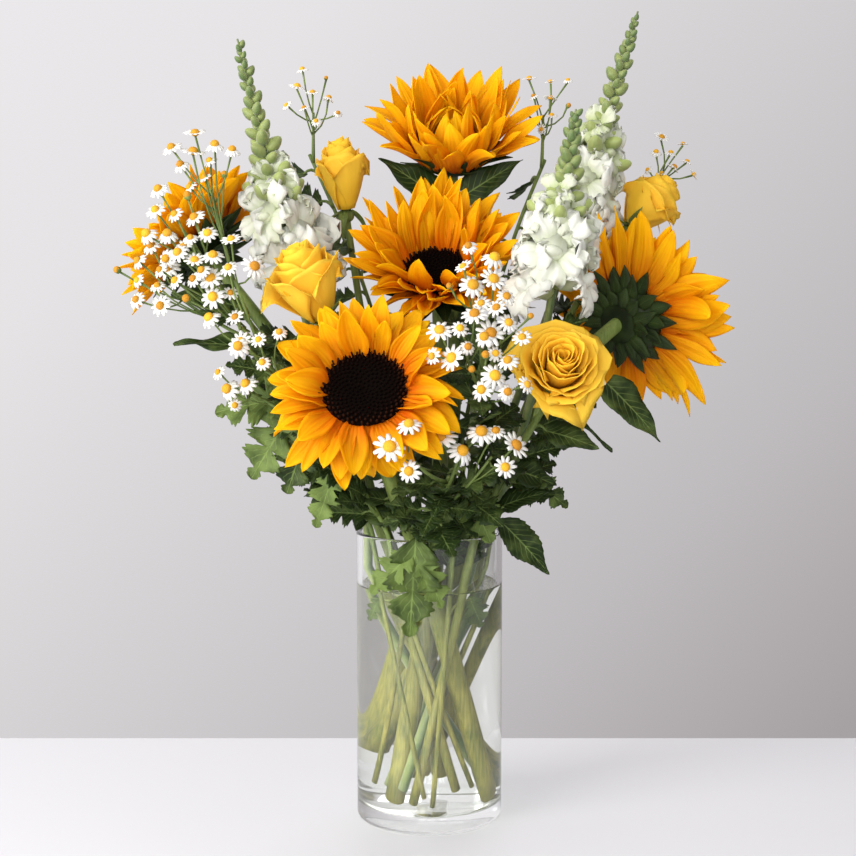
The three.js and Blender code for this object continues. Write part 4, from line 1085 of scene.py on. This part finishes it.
def rose_petals(rose, seed, petals):
    """Petals wound in a spiral, closed at the heart and rolled outward at the rim."""
    growth = Growth()
    place = rose["base"], axes_at(rose["facing"])
    radius, height, opened = rose["radius"], rose["height"], rose["open"]
    for k in range(petals):
        share = k / (petals - 1)
        turn = k * GOLDEN_TURN + seed + jitter(k, seed, 0.22)
        rim = radius * (0.09 + (0.62 + 0.05 * opened) * share ** 1.1 + jitter(k, seed + 3, 0.05) * share)
        root = radius * (0.03 + 0.24 * share)
        wrap = math.radians(150 - 84 * share ** 0.6)
        top = height * (0.93 + 0.10 * math.sin(math.pi * min(share * 1.5, 1))
                        - (0.10 + 0.15 * opened) * share ** 2 + jitter(k, seed + 1, 0.03))
        lip = radius * (0.02 + (0.08 + 0.23 * opened) * share ** 1.7)
        twist = jitter(k, seed + 2, 0.14)

        def rule(p):
            x, v, z = p.T
            swell = np.sin(np.minimum(v * (1.5 - 0.4 * share), 1) * math.pi / 2)
            out = root + (rim - root) * swell + (0.085 - 0.02 * share) * radius * x * (0.3 + 0.7 * v)
            roll = np.maximum(0, (v - 0.6) / 0.4) ** 2
            edge = np.abs(x) ** 2.5
            out = out + lip * roll * (0.7 + 0.7 * edge) + (z - 0.5) * 0.5
            waves = np.sin(x * 5 + turn * 3) + np.sin(x * 11 + turn)
            out = out + 0.03 * radius * (0.3 + share) * waves * v ** 2
            curve = np.sin(np.minimum(v * 1.15 + 0.1, 1) * math.pi / 2)
            angle = turn + twist * v + x * wrap * (0.45 + 0.55 * curve)
            tall = -0.5 + (top + 0.5) * v * (1 - (0.1 + 0.1 * share) * x ** 2 * v - 0.1 * edge * v)
            ripple = 0.02 * height * (np.sin(x * 4 + turn) + 0.7 * np.sin(x * 9 + turn * 2)) * v ** 2
            tall = tall - lip * roll * share * (0.45 + edge) + ripple
            return np.column_stack([out * np.cos(angle), out * np.sin(angle), tall])

        growth.add(slab(*ROSE_PETAL_GRID, pointed=False), rule, share, place)
    return growth


def rose_green(rose, seed, stem):
    """The round hip and its long sepals, on its stem."""
    growth = Growth()
    grow_stem(growth, stem, 10)
    place = rose["base"], axes_at(rose["facing"])
    growth.add(ball(*HIP_BALL), lambda p: p * (5.4, 5.4, 4.4) + (0, 0, -5.6), 0.3, place)
    for k in range(SEPALS):
        opening = 36 if k % 2 else -18
        rule = ray(
            math.tau * (k + 0.5) / SEPALS - math.pi / 2, 2.5, -2.4,
            math.radians(opening + jitter(k, seed, 14)),
            math.radians(-30 + jitter(k, seed, 20) + (opening > 0) * 64), 24, 7, 0.6, cup=0.4,
            twist=jitter(k, seed + 3, 0.5), outline=bract_outline,
        )
        growth.add(slab(*BRACT_GRID), rule, 0.6, place)
    return growth


# ---------- snapdragons ----------

def lobe_outline(t):
    return (0.42 + 0.62 * t) * np.sqrt(1 - 0.7 * np.maximum(0, (t - 0.6) / 0.4) ** 2)


@functools.cache
def floret_shape():
    """One floret along z: a short tube, two lobes that stand up and three that hang, with ruffled rims."""
    growth = Growth()

    def tube(p):
        t = p[:, 2]
        wide = 0.1 + 0.12 * np.sin(np.minimum(t * 1.2, 1) * math.pi / 2)
        return np.column_stack([p[:, 0] * wide, p[:, 1] * wide, t * 0.5])

    growth.add(rod(10, 5), tube)
    for turn, length, width, lift, curl in FLORET_LOBES:
        laid_out = ray(math.radians(turn), 0.12, 0.38, math.radians(lift), math.radians(curl), length, width,
                       0.03, cup=-0.25, outline=lobe_outline)

        def ruffled(p):
            laid = laid_out(p)
            rim = p[:, 1] ** 2
            laid[:, 2] += 0.085 * np.sin(p[:, 0] * 9 + turn) * rim
            laid[:, 1] += 0.06 * np.sin(p[:, 0] * 8 + turn * 2 + 1) * rim
            return laid

        growth.add(slab(*LOBE_GRID, pointed=False), ruffled)
    growth.add(ball(*THROAT_BALL), lambda p: p * (0.16, 0.1, 0.13) + (0, -0.11, 0.5))
    shape = growth.as_shape()
    out = np.hypot(shape.points[:, 0], shape.points[:, 1])
    shape.marks[:, 1] = np.clip(shape.points[:, 2] * 1.2 - 0.1 + out * 0.8, 0, 1)
    return shape


def snapdragon_florets(spike, seed, florets):
    """The open florets, largest at the foot of the spike."""
    growth = Growth()
    axis = np.subtract(spike["tip"], spike["base"])
    place = spike["base"], axes_at(axis)
    length = np.linalg.norm(axis)
    for k in range(florets):
        share = (k + 0.5) / florets
        out = leaning(k * GOLDEN_TURN + seed, math.radians(78 - 36 * share + jitter(k, seed, 12)))
        root = np.array([0, 0, length * spike["bloom_top"] * (share - 0.05)]) + out
        size = (47 - 24 * share) * (1 + jitter(k, seed + 1, 0.14))

        def rule(p):
            laid = p * size
            laid = laid + 0.7 * np.sin(laid[:, [1, 2, 0]] * 0.5 + k)
            return settle_in(laid, root, axes_at(out))

        growth.add(floret_shape(), rule, share, place)
    return growth


def snapdragon_green(spike, seed, stem, buds):
    """The stem and the buds, which shrink towards the tip. The lowest ones stand out on twigs."""
    growth = Growth()
    grow_stem(growth, stem, 10, 0.8)
    base, tip = np.array(spike["base"], float), np.array(spike["tip"], float)
    spine = [base + (tip - base) * t for t in np.linspace(-0.01, 1, 12)]
    grow_rod(growth, spine, np.linspace(3, 0.7, 12), 8, 0.8)
    place = base, axes_at(tip - base)
    length = np.linalg.norm(tip - base)
    for k in range(buds):
        share = (k + 0.5) / buds
        turn = k * GOLDEN_TURN + seed + 1
        out = leaning(turn, math.radians(62 - 34 * share + jitter(k, seed, 10)))
        height = length * (spike["bloom_top"] - 0.2 + (1.16 - spike["bloom_top"]) * share ** 0.9)
        size = (5.2 - 3.4 * share) * (1 + jitter(k, seed + 2, 0.22))
        stand = 15 * max(0, 1 - share * 4)
        root = np.array([0, 0, height]) + out * (1.8 + size * 1.35 + stand)
        if stand:
            start, end = settle_in(np.array([(0, 0, height - stand * 0.4), root]), *place)
            grow_rod(growth, arc(start, end, (0, 0, -1), 3), (1.0, 0.9, 0.9, 0.8), 5, 0.8)

        def bud(p):
            pinch = 1 - 0.25 * p[:, 2:3]
            laid = p * (size, size, size * 1.45) * np.hstack([pinch, pinch, np.ones_like(pinch)])
            return settle_in(laid, root, axes_at(out))

        growth.add(ball(*BUD_BALL), bud, share * 0.7 + 0.15, place)
        sepal = ray(turn, 0.8, height - size * 0.5, math.radians(20 + 40 * share), math.radians(40),
                    size * 2.2, size * 1.1, 0.3, cup=0.5, outline=bract_outline)
        growth.add(slab(*BRACT_GRID), sepal, 0.9, place)
    return growth


# ---------- feverfew ----------

def cluster_heads(middle, reach, seed, heads):
    """Where the daisies of one cluster stand, in a spiral that bulges to the front."""
    places = []
    for k in range(heads):
        out = reach * CLUSTER_SPREAD * math.sqrt((k + 0.35) / heads)
        turn = k * GOLDEN_TURN + seed * 1.7
        offset = (math.cos(turn) * out, -4 - abs(math.sin(turn * 1.3)) * 8, math.sin(turn) * out)
        places.append(np.add(middle, offset))
    return places


def feverfew_spray(spray, seed, stem, fullness):
    """The twigs, the white rays and the golden hearts of one spray."""
    twigs, rays, hearts = Growth(), Growth(), Growth()
    grow_stem(twigs, stem, 8)
    for i, (middle, number, reach) in enumerate(spray["clusters"]):
        root = stem.point_at(stem.end[2] - 3 - i * 11)
        end = root + (middle - root) * 0.8
        grow_rod(twigs, arc(root, end, (0, -2, -3), 5), np.linspace(1.4, 0.9, 6), 6)
        heads = cluster_heads(middle, reach, seed + i, round(number * spray["full"] * fullness))
        for k, head in enumerate(heads):
            fork = root + (end - root) * (0.45 + 0.5 * k / max(len(heads) - 1, 1))
            rise = unit(head - fork)
            toward = (jitter(k, seed, 0.7), jitter(k, seed + 1, 0.6) - 0.8 * (head[1] < 0), 0.5)
            facing = unit(rise + toward)
            size = spray["head"] * (1 + jitter(k, seed + i, 0.24))
            stalk = arc(fork, head - facing * 1.5, (jitter(k, seed + 2, 3), -1, -2.5), 3)
            grow_rod(twigs, stalk, (0.7, 0.6, 0.55, 0.8), 5)
            if k % 6 == 5:
                bud = size * 0.34
                hearts.add(ball(*DAISY_HEART_BALL), lambda p: p * bud + head, 0.1)
                twigs.add(ball(*DAISY_CUP_BALL), lambda p: p * bud * 1.06 + head - rise * bud * 0.35, 0.4)
            else:
                daisy(head, facing, size, k + seed * 20 + i * 7, twigs, rays, hearts)
    return twigs, rays, hearts


def daisy_ray_outline(t):
    return np.sin(math.pi * (0.2 + 0.66 * t)) ** 0.6


def daisy(centre, facing, size, seed, twigs, rays, hearts):
    """One open head: its cup goes to the twigs, its rays and its heart to pieces of their own."""
    place = centre, axes_at(facing)
    droop = -0.25 + jitter(seed, 4, 0.45)
    for k in range(DAISY_RAYS):
        turn = math.tau * k / DAISY_RAYS + jitter(k, seed, 0.1)
        rule = ray(turn, size * 0.26, 0, 0.2 + droop, -0.5, size * 0.78 * (1 + jitter(k, seed + 1, 0.08)),
                   size * 0.33, 0.25, cup=-0.15, outline=daisy_ray_outline)
        rays.add(slab(*DAISY_RAY_GRID, pointed=False), rule, noise(k, seed), place)

    def heart(p):
        grain = 1 + 0.06 * np.sin(p[:, :1] * 19) * np.sin(p[:, 1:2] * 23)
        return p * (size * 0.43, size * 0.43, size * 0.34) * grain + (0, 0, size * 0.06)

    def cup(p):
        return p * (size * 0.3, size * 0.3, size * 0.2) + (0, 0, -size * 0.12)

    hearts.add(ball(*DAISY_HEART_BALL), heart, noise(seed, 9), place)
    twigs.add(ball(*DAISY_CUP_BALL), cup, 0.4, place)


# ---------- leaves ----------

def feverfew_outline(t):
    envelope = np.sin(np.pi * (0.06 + 0.94 * t) ** 0.75) ** 0.6
    lobes = np.abs(np.sin(math.pi * 3.5 * t ** 0.9)) ** 0.6
    teeth = 0.78 + 0.22 * np.abs(np.sin(math.pi * 14 * t))
    return np.maximum(envelope * (0.16 + 0.84 * lobes) * teeth, 0.03) * (t < 0.999)


def rose_outline(t):
    saw = 1 - 0.1 * (1 - (t * 11) % 1)
    return np.sin(np.pi * t ** 0.68) ** 1.05 * saw * (t < 0.999)


def sunflower_outline(t):
    saw = 1 - 0.04 * (1 - (t * 9) % 1)
    return np.sin(np.pi * (0.1 + 0.9 * t) ** 0.6) ** 1.1 * saw * (t < 0.999)


LEAF_OUTLINES = {"feverfew": feverfew_outline, "rose": rose_outline, "sunflower": sunflower_outline}


def grow_leaf(growth, leaf, shape, seed):
    """A leaf's blade, folded a little along its middle, waved and curling back towards its tip."""
    root = np.array(leaf["root"], float)
    along = np.subtract(leaf["tip"], root)
    length = np.linalg.norm(along)

    def rule(p):
        x, t, z = p.T
        half = leaf["width"] / 2 * LEAF_OUTLINES[leaf["kind"]](t)
        onward = t * length + np.abs(x) * half * LEAF_SWEEP[leaf["kind"]] * 1.6 * (1 - t)
        fold = np.abs(x) * half * 0.22
        wave = 0.035 * length * np.sin(t * 13 + x * 2.5 + seed) * np.abs(x)
        away = fold + wave - leaf["curl"] * length * t ** 2 + (z - 0.5) * 0.5
        return np.column_stack([-x * half, away, onward])

    growth.add(shape, rule, leaf["pale"] + jitter(seed, 5, 0.2), (root, axes_between(along, leaf["face"])))


def grow_stalk(growth, stem, leaf):
    start = stem.point_at(leaf["start"])
    root = np.array(leaf["root"], float)
    along = unit(np.subtract(leaf["tip"], root))
    grow_rod(growth, arc(start, root + along * 3, (0, 0, 3)), (1.5, 1.2, 1.1, 1.0, 0.7), 6)


def sprigs(stem, count, highest, kind, seed):
    """Small leaves that spring from one stem, all round it, and stay clear of the blooms."""
    leaves = []
    for k in range(count):
        start = LOWEST_SPRIG + (highest - LOWEST_SPRIG) * (k + 0.5) / count
        at = stem.point_at(start)
        turn = math.atan2(at[1], at[0]) + jitter(k, seed, 2.2)
        way = np.array([math.cos(turn), math.sin(turn), jitter(k, seed + 1, 0.5)])
        length = SPRIG_LENGTH + jitter(k, seed + 2, 9)
        tip = at + way * (length + SPRIG_STALK)
        if any(np.linalg.norm(tip - centre) < radius + 4 for _, centre, radius in bloom_spheres()):
            continue
        width = length * (0.8 if kind == "feverfew" else 0.6)
        face = (way[0] * 0.3, -0.7, 0.7 + jitter(k, seed + 4, 0.4))
        curl = 0.12 + jitter(k, seed + 3, 0.1)
        # Painted shade: the small leaves all take the low pale share 0.12, dark as leaves deep among the
        # stems.
        leaves.append(leaf(kind, start, at + way * SPRIG_STALK, tip, width, curl, 0.12, face))
    return leaves


def add_leaves(owner, slot, count, highest, finish):
    """The leaves that spring from one stem: the large ones of the plan and a number of small ones."""
    stem = make_stems()[owner]
    large = LEAVES.get(owner, [])
    kind = "rose" if owner.endswith("_stem") else "feverfew"
    leaves = large + sprigs(stem, count, highest, kind, len(owner))
    blades, stalks = Growth(), Growth()
    for i, blade in enumerate(leaves):
        grow_stalk(stalks, stem, blade)
        grid = LEAF_GRID if i < len(large) else SPRIG_GRID
        grow_leaf(blades, blade, slab(*grid), i + len(owner))
    if leaves:
        stalks.piece(f"{owner}_leaf_stalks", stem_finish("green_twig"), slot, [owner])
        blades.piece(f"{owner}_leaves", finish, slot, [owner])


# ---------- settings ----------

class BouquetVase(bpy.types.PropertyGroup):
    radius: bpy.props.FloatProperty(
        name="Radius", description="Outer radius of the vase", default=VASE_RADIUS * MM, unit="LENGTH")
    height: bpy.props.FloatProperty(
        name="Height", description="Height of the vase", default=VASE_HEIGHT * MM, unit="LENGTH")
    water_level: bpy.props.FloatProperty(
        name="Water level", description="Height of the water's surface", default=WATER_LEVEL * MM,
        unit="LENGTH")
    glass_tint: bpy.props.FloatVectorProperty(
        name="Glass tint", description="Colour of the glass", default=(0.985, 0.995, 0.99), subtype="COLOR")
    water_tint: bpy.props.FloatVectorProperty(
        name="Water tint", description="Colour of the water", default=(0.985, 0.99, 0.965), subtype="COLOR")


class BouquetSunflowers(bpy.types.PropertyGroup):
    petals: bpy.props.IntProperty(name="Petals", description="Petals of each sunflower", default=57, min=12)
    florets: bpy.props.IntProperty(name="Florets", description="Florets of each disc", default=300, min=50)
    # The petal root colour holds painted shade at the roots as well as the petals' own deeper orange there.
    petal_root: bpy.props.FloatVectorProperty(
        name="Petal root", description="Colour by the disc", default=(0.72, 0.15, 0.0), subtype="COLOR")
    petal_tip: bpy.props.FloatVectorProperty(
        name="Petal tip", description="Colour at the tip", default=(1.0, 0.66, 0.004), subtype="COLOR")
    disc: bpy.props.FloatVectorProperty(
        name="Disc rim", description="Colour of the outer florets", default=(0.03, 0.009, 0.004),
        subtype="COLOR")


class BouquetRoses(bpy.types.PropertyGroup):
    petals: bpy.props.IntProperty(name="Petals", description="Petals of each rose", default=22, min=8)
    heart: bpy.props.FloatVectorProperty(
        name="Heart", description="Colour at the heart", default=(1.0, 0.57, 0.015), subtype="COLOR")
    outside: bpy.props.FloatVectorProperty(
        name="Outside", description="Colour of the outer petals", default=(1.0, 0.68, 0.06), subtype="COLOR")


class BouquetSnapdragons(bpy.types.PropertyGroup):
    fullness: bpy.props.FloatProperty(
        name="Fullness", description="Share of the open florets that are grown", default=1.0, min=0.5)
    buds: bpy.props.IntProperty(name="Buds", description="Buds of each spike", default=46, min=4)
    lobes: bpy.props.FloatVectorProperty(
        name="Lobes", description="Colour of the ruffled lobes", default=(0.90, 0.91, 0.83), subtype="COLOR")
    throat: bpy.props.FloatVectorProperty(
        name="Throat", description="Colour of the tube", default=(0.42, 0.52, 0.13), subtype="COLOR")
    bud: bpy.props.FloatVectorProperty(
        name="Bud", description="Colour of a bud's tip", default=(0.26, 0.31, 0.09), subtype="COLOR")
    bud_root: bpy.props.FloatVectorProperty(
        name="Bud root", description="Colour of a bud's root", default=(0.08, 0.14, 0.03), subtype="COLOR")


class BouquetFeverfew(bpy.types.PropertyGroup):
    fullness: bpy.props.FloatProperty(
        name="Fullness", description="Share of the daisies that are grown", default=1.0, min=0.3)


class BouquetLeaves(bpy.types.PropertyGroup):
    fullness: bpy.props.FloatProperty(
        name="Fullness", description="Share of the small leaves that are grown", default=1.0, min=0.0)
    pale: bpy.props.FloatVectorProperty(
        name="Pale green", description="Colour of the palest leaves", default=(0.20, 0.285, 0.07),
        subtype="COLOR")
    # The dark green serves as painted shade for leaves deep in the bouquet, as well as their own dark tone.
    dark: bpy.props.FloatVectorProperty(
        name="Dark green", description="Colour of the darkest leaves", default=(0.018, 0.035, 0.007),
        subtype="COLOR")


# ---------- operators ----------

class BouquetStep(bpy.types.Operator):
    """One step of the bouquet"""
    bl_options = {"REGISTER", "UNDO"}


def turned_piece(profile, name, finish, slot, nodes):
    growth = Growth()
    growth.add(turned(profile), lambda p: p)
    growth.piece(name, finish, slot, nodes)


class BOUQUET_OT_vase(BouquetStep):
    """Turns the clear glass cylinder with its thick base"""
    bl_idname = "bouquet.vase"
    bl_label = "Vase"

    def execute(self, context):
        settings = context.scene.bouquet_vase
        radius, height = settings.radius / MM, settings.height / MM
        inner = radius - GLASS_WALL
        foot = radius - FOOT_ROUNDING
        rim = height - RIM_ROUNDING
        floor = GLASS_BASE + INNER_ROUNDING
        corner = inner - INNER_ROUNDING
        profile = [(0, 0.9), (radius * 0.55, 0.7), (foot, 0)]
        profile += [(foot + FOOT_ROUNDING * math.sin(a), 4 - 4 * math.cos(a))
                    for a in np.linspace(0.25, math.pi / 2, 6)]
        profile += [(radius, z) for z in np.linspace(4.6, height - 2, 12)]
        profile += [(radius, rim)]
        profile += [((radius + inner) / 2 + GLASS_WALL / 2 * math.cos(a), rim + RIM_ROUNDING * math.sin(a))
                    for a in np.linspace(0.3, math.pi - 0.3, 7)]
        profile += [(inner, rim)]
        profile += [(inner, z) for z in np.linspace(height - 2, floor + 0.5, 12)]
        profile += [(inner, floor)]
        profile += [(corner + INNER_ROUNDING * math.cos(a), floor - INNER_ROUNDING * math.sin(a))
                    for a in np.linspace(0.3, math.pi / 2, 5)]
        profile += [(inner * 0.5, GLASS_BASE + 0.3), (0, GLASS_BASE + 0.5)]
        glass = clear_finish("clear_glass", GLASS_IOR, settings.glass_tint[:], GLASS_SMEARS)
        turned_piece(profile, "glass_vase", glass, "vase_glass", ["vase"])
        return {"FINISHED"}


class BOUQUET_OT_water(BouquetStep):
    """Fills the vase with water that climbs a little at the glass"""
    bl_idname = "bouquet.water"
    bl_label = "Water"

    def execute(self, context):
        settings = context.scene.bouquet_vase
        level = settings.water_level / MM
        edge = settings.radius / MM - GLASS_WALL + WATER_INTO_GLASS
        low = GLASS_BASE - WATER_INTO_GLASS
        floor = low + INNER_ROUNDING
        corner = edge - INNER_ROUNDING
        profile = [(0, low + 0.5), (edge * 0.5, low + 0.3)]
        profile += [(corner + INNER_ROUNDING * math.sin(a), floor - INNER_ROUNDING * math.cos(a))
                    for a in np.linspace(0, math.pi / 2, 6)]
        profile += [(edge, z) for z in np.linspace(floor + 0.7, level + MENISCUS - 0.4, 12)]
        profile += [(edge, level + MENISCUS)]
        profile += [(edge - out, level + MENISCUS * math.exp(-out / 1.3)) for out in (0.5, 1.1, 2, 3.2, 5)]
        profile += [(edge * 0.6, level), (0, level)]
        water = clear_finish("clear_water", WATER_IOR, settings.water_tint[:])
        turned_piece(profile, "water_body", water, "water", ["water"])
        return {"FINISHED"}


class BOUQUET_OT_sunflowers(BouquetStep):
    """Grows the sunflowers: petals in layers, discs of florets, green cups and stems"""
    bl_idname = "bouquet.sunflowers"
    bl_label = "Sunflowers"

    def execute(self, context):
        settings = context.scene.bouquet_sunflowers
        petal, disc = sunflower_petal_finish(settings), disc_finish(settings)
        cup = leaf_finish("sunflower_cup", CUP_PALE, CUP_DARK)
        for i, flower in enumerate(SUNFLOWERS):
            name = f"sunflower_{flower['name']}"
            petals = sunflower_petals(flower, i * 10 + 2, settings.petals)
            petals.piece(f"{name}_ray_petals", petal, "sunflower_petal", [f"{name}_petals"])
            florets = sunflower_disc(flower, i, settings.florets)
            florets.piece(f"{name}_florets", disc, "sunflower_disc", [f"{name}_disc"])
            bracts = sunflower_cup(flower, i * 10)
            bracts.piece(f"{name}_cup", cup, "sunflower_green", [f"{name}_stem"])
            stalk = Growth()
            grow_stem(stalk, make_stems()[f"{name}_stem"], 14)
            stalk.piece(f"{name}_stalk", stem_finish("green_stem"), "sunflower_green", [f"{name}_stem"])
        return {"FINISHED"}


class BOUQUET_OT_roses(BouquetStep):
    """Winds the roses' petals and adds their hips, sepals and stems"""
    bl_idname = "bouquet.roses"
    bl_label = "Roses"

    def execute(self, context):
        settings = context.scene.bouquet_roses
        petal = rose_petal_finish(settings)
        for i, rose in enumerate(ROSES):
            name = f"rose_{rose['name']}"
            petals = rose_petals(rose, i * 3, settings.petals)
            petals.piece(f"{name}_petals", petal, "rose_petal", [f"{name}_bloom"])
            green = rose_green(rose, i * 7, make_stems()[f"{name}_stem"])
            green.piece(f"{name}_hip_and_stem", stem_finish("green_stem"), "rose_green", [f"{name}_stem"])
        return {"FINISHED"}


class BOUQUET_OT_snapdragons(BouquetStep):
    """Sets ruffled florets and buds round the snapdragons' spikes"""
    bl_idname = "bouquet.snapdragons"
    bl_label = "Snapdragons"

    def execute(self, context):
        settings = context.scene.bouquet_snapdragons
        floret, bud = snapdragon_finish(settings), bud_finish(settings)
        for i, spike in enumerate(SNAPDRAGONS):
            name = f"snapdragon_{spike['name']}"
            florets = snapdragon_florets(spike, i, round(spike["florets"] * settings.fullness))
            florets.piece(f"{name}_florets", floret, "snapdragon", [name])
            green = snapdragon_green(spike, i, make_stems()[name], settings.buds)
            green.piece(f"{name}_buds_and_stem", bud, "snapdragon", [name])
        return {"FINISHED"}


class BOUQUET_OT_feverfew(BouquetStep):
    """Branches the feverfew sprays and sets their daisies"""
    bl_idname = "bouquet.feverfew"
    bl_label = "Feverfew"

    def execute(self, context):
        settings = context.scene.bouquet_feverfew
        ray_finish, heart_finish = daisy_ray_finish(), daisy_heart_finish()
        for i, spray in enumerate(SPRAYS):
            name = f"spray_{spray['name']}"
            twigs, rays, hearts = feverfew_spray(spray, i * 3, make_stems()[name], settings.fullness)
            twigs.piece(f"{name}_twigs", stem_finish("green_twig"), "feverfew", [name])
            rays.piece(f"{name}_rays", ray_finish, "feverfew", [name])
            hearts.piece(f"{name}_hearts", heart_finish, "feverfew", [name])
        return {"FINISHED"}


class BOUQUET_OT_leaves(BouquetStep):
    """Grows the large and small leaves of every stem"""
    bl_idname = "bouquet.leaves"
    bl_label = "Leaves"

    def execute(self, context):
        settings = context.scene.bouquet_leaves
        finish = leaf_finish("green_leaf", settings.pale[:], settings.dark[:])
        owners = [(f"sunflower_{flower['name']}_stem", "sunflower_green", flower["centre"][2] - 60)
                  for flower in SUNFLOWERS]
        owners += [(f"rose_{rose['name']}_stem", "rose_green", rose["base"][2] - 25) for rose in ROSES]
        owners += [(f"snapdragon_{spike['name']}", "snapdragon", spike["base"][2] - 15)
                   for spike in SNAPDRAGONS]
        owners += [(f"spray_{spray['name']}", "feverfew", spray["crown"][2] - 5) for spray in SPRAYS]
        for owner, slot, highest in owners:
            add_leaves(owner, slot, round(SPRIGS_A_STEM[slot] * settings.fullness), highest, finish)
        return {"FINISHED"}


class BOUQUET_OT_stage(BouquetStep):
    """Sets the pale table, the soft lights and the camera"""
    bl_idname = "bouquet.stage"
    bl_label = "Stage"

    def execute(self, context):
        scene = context.scene
        mesh = bmesh.new()
        _, deep, thick = TABLE_SIZE
        bmesh.ops.create_cube(mesh, size=1)
        bmesh.ops.scale(mesh, vec=TABLE_SIZE, verts=mesh.verts)
        bmesh.ops.translate(mesh, vec=(0, TABLE_BACK - deep / 2, -thick / 2), verts=mesh.verts)
        data = bpy.data.meshes.new("table")
        mesh.to_mesh(data)
        mesh.free()
        data.materials.append(table_finish(TABLE_COLOUR))
        table = bpy.data.objects.new("table", data)
        scene.collection.objects.link(table)
        for lamp in LAMPS:
            soft_lamp(scene, **lamp)
        scene.world = wall()
        camera = bpy.data.cameras.new("camera")
        camera.lens = LENS
        camera.sensor_width = SENSOR
        view = bpy.data.objects.new("camera", camera)
        view.location = CAMERA_PLACE
        view.rotation_euler = (math.radians(CAMERA_TILT), 0, 0)
        scene.collection.objects.link(view)
        scene.camera = view
        scene.view_settings.view_transform = "Standard"
        scene.cycles.max_bounces = 16
        scene.cycles.transmission_bounces = 14
        scene.cycles.transparent_max_bounces = 24
        return {"FINISHED"}


def wall():
    """A pale wall far away, with painted light: brighter at the top left than at the bottom right."""
    finish = Finish("wall", world=True)
    way = finish.node("ShaderNodeTexCoord")
    sloping = {0: way, 1: WALL_SLOPE}
    slope = finish.node("ShaderNodeVectorMath", {"operation": "DOT_PRODUCT"}, sloping, output=1)
    shade = finish.ramp(slope + 0.5, WALL_PAINTED_LIGHT)
    return finish.done(finish.node("ShaderNodeBackground", inputs={"Color": shade}))


def soft_lamp(scene, name, place, target, size, power, colour):
    light = bpy.data.lights.new(name, "AREA")
    light.size = size
    light.energy = power
    light.color = colour
    lamp = bpy.data.objects.new(name, light)
    lamp.location = place
    lamp.rotation_euler = (Vector(target) - Vector(place)).to_track_quat("-Z", "Y").to_euler()
    scene.collection.objects.link(lamp)


STEPS = [BOUQUET_OT_vase, BOUQUET_OT_water, BOUQUET_OT_sunflowers, BOUQUET_OT_roses, BOUQUET_OT_snapdragons,
         BOUQUET_OT_feverfew, BOUQUET_OT_leaves, BOUQUET_OT_stage]
GROUPS = {"bouquet_vase": BouquetVase, "bouquet_sunflowers": BouquetSunflowers, "bouquet_roses": BouquetRoses,
          "bouquet_snapdragons": BouquetSnapdragons, "bouquet_feverfew": BouquetFeverfew,
          "bouquet_leaves": BouquetLeaves}


class BOUQUET_PT_panel(bpy.types.Panel):
    """Lists the bouquet's steps and settings"""
    bl_label = "Bouquet"
    bl_space_type = "VIEW_3D"
    bl_region_type = "UI"
    bl_category = "Bouquet"

    def draw(self, context):
        for name, group in GROUPS.items():
            for setting in group.__annotations__:
                self.layout.prop(getattr(context.scene, name), setting)
        for step in STEPS:
            self.layout.operator(step.bl_idname)


def register():
    for group in GROUPS.values():
        bpy.utils.register_class(group)
    for name, group in GROUPS.items():
        setattr(bpy.types.Scene, name, bpy.props.PointerProperty(type=group))
    for kind in (*STEPS, BOUQUET_PT_panel):
        bpy.utils.register_class(kind)


def unregister():
    for kind in (BOUQUET_PT_panel, *reversed(STEPS)):
        bpy.utils.unregister_class(kind)
    for name in GROUPS:
        delattr(bpy.types.Scene, name)
    for group in reversed(list(GROUPS.values())):
        bpy.utils.unregister_class(group)


def main():
    register()
    bpy.ops.bouquet.vase()
    bpy.ops.bouquet.water()
    bpy.ops.bouquet.sunflowers()
    bpy.ops.bouquet.roses()
    bpy.ops.bouquet.snapdragons()
    bpy.ops.bouquet.feverfew()
    bpy.ops.bouquet.leaves()
    bpy.ops.bouquet.stage()


if __name__ == "__main__":
    main()
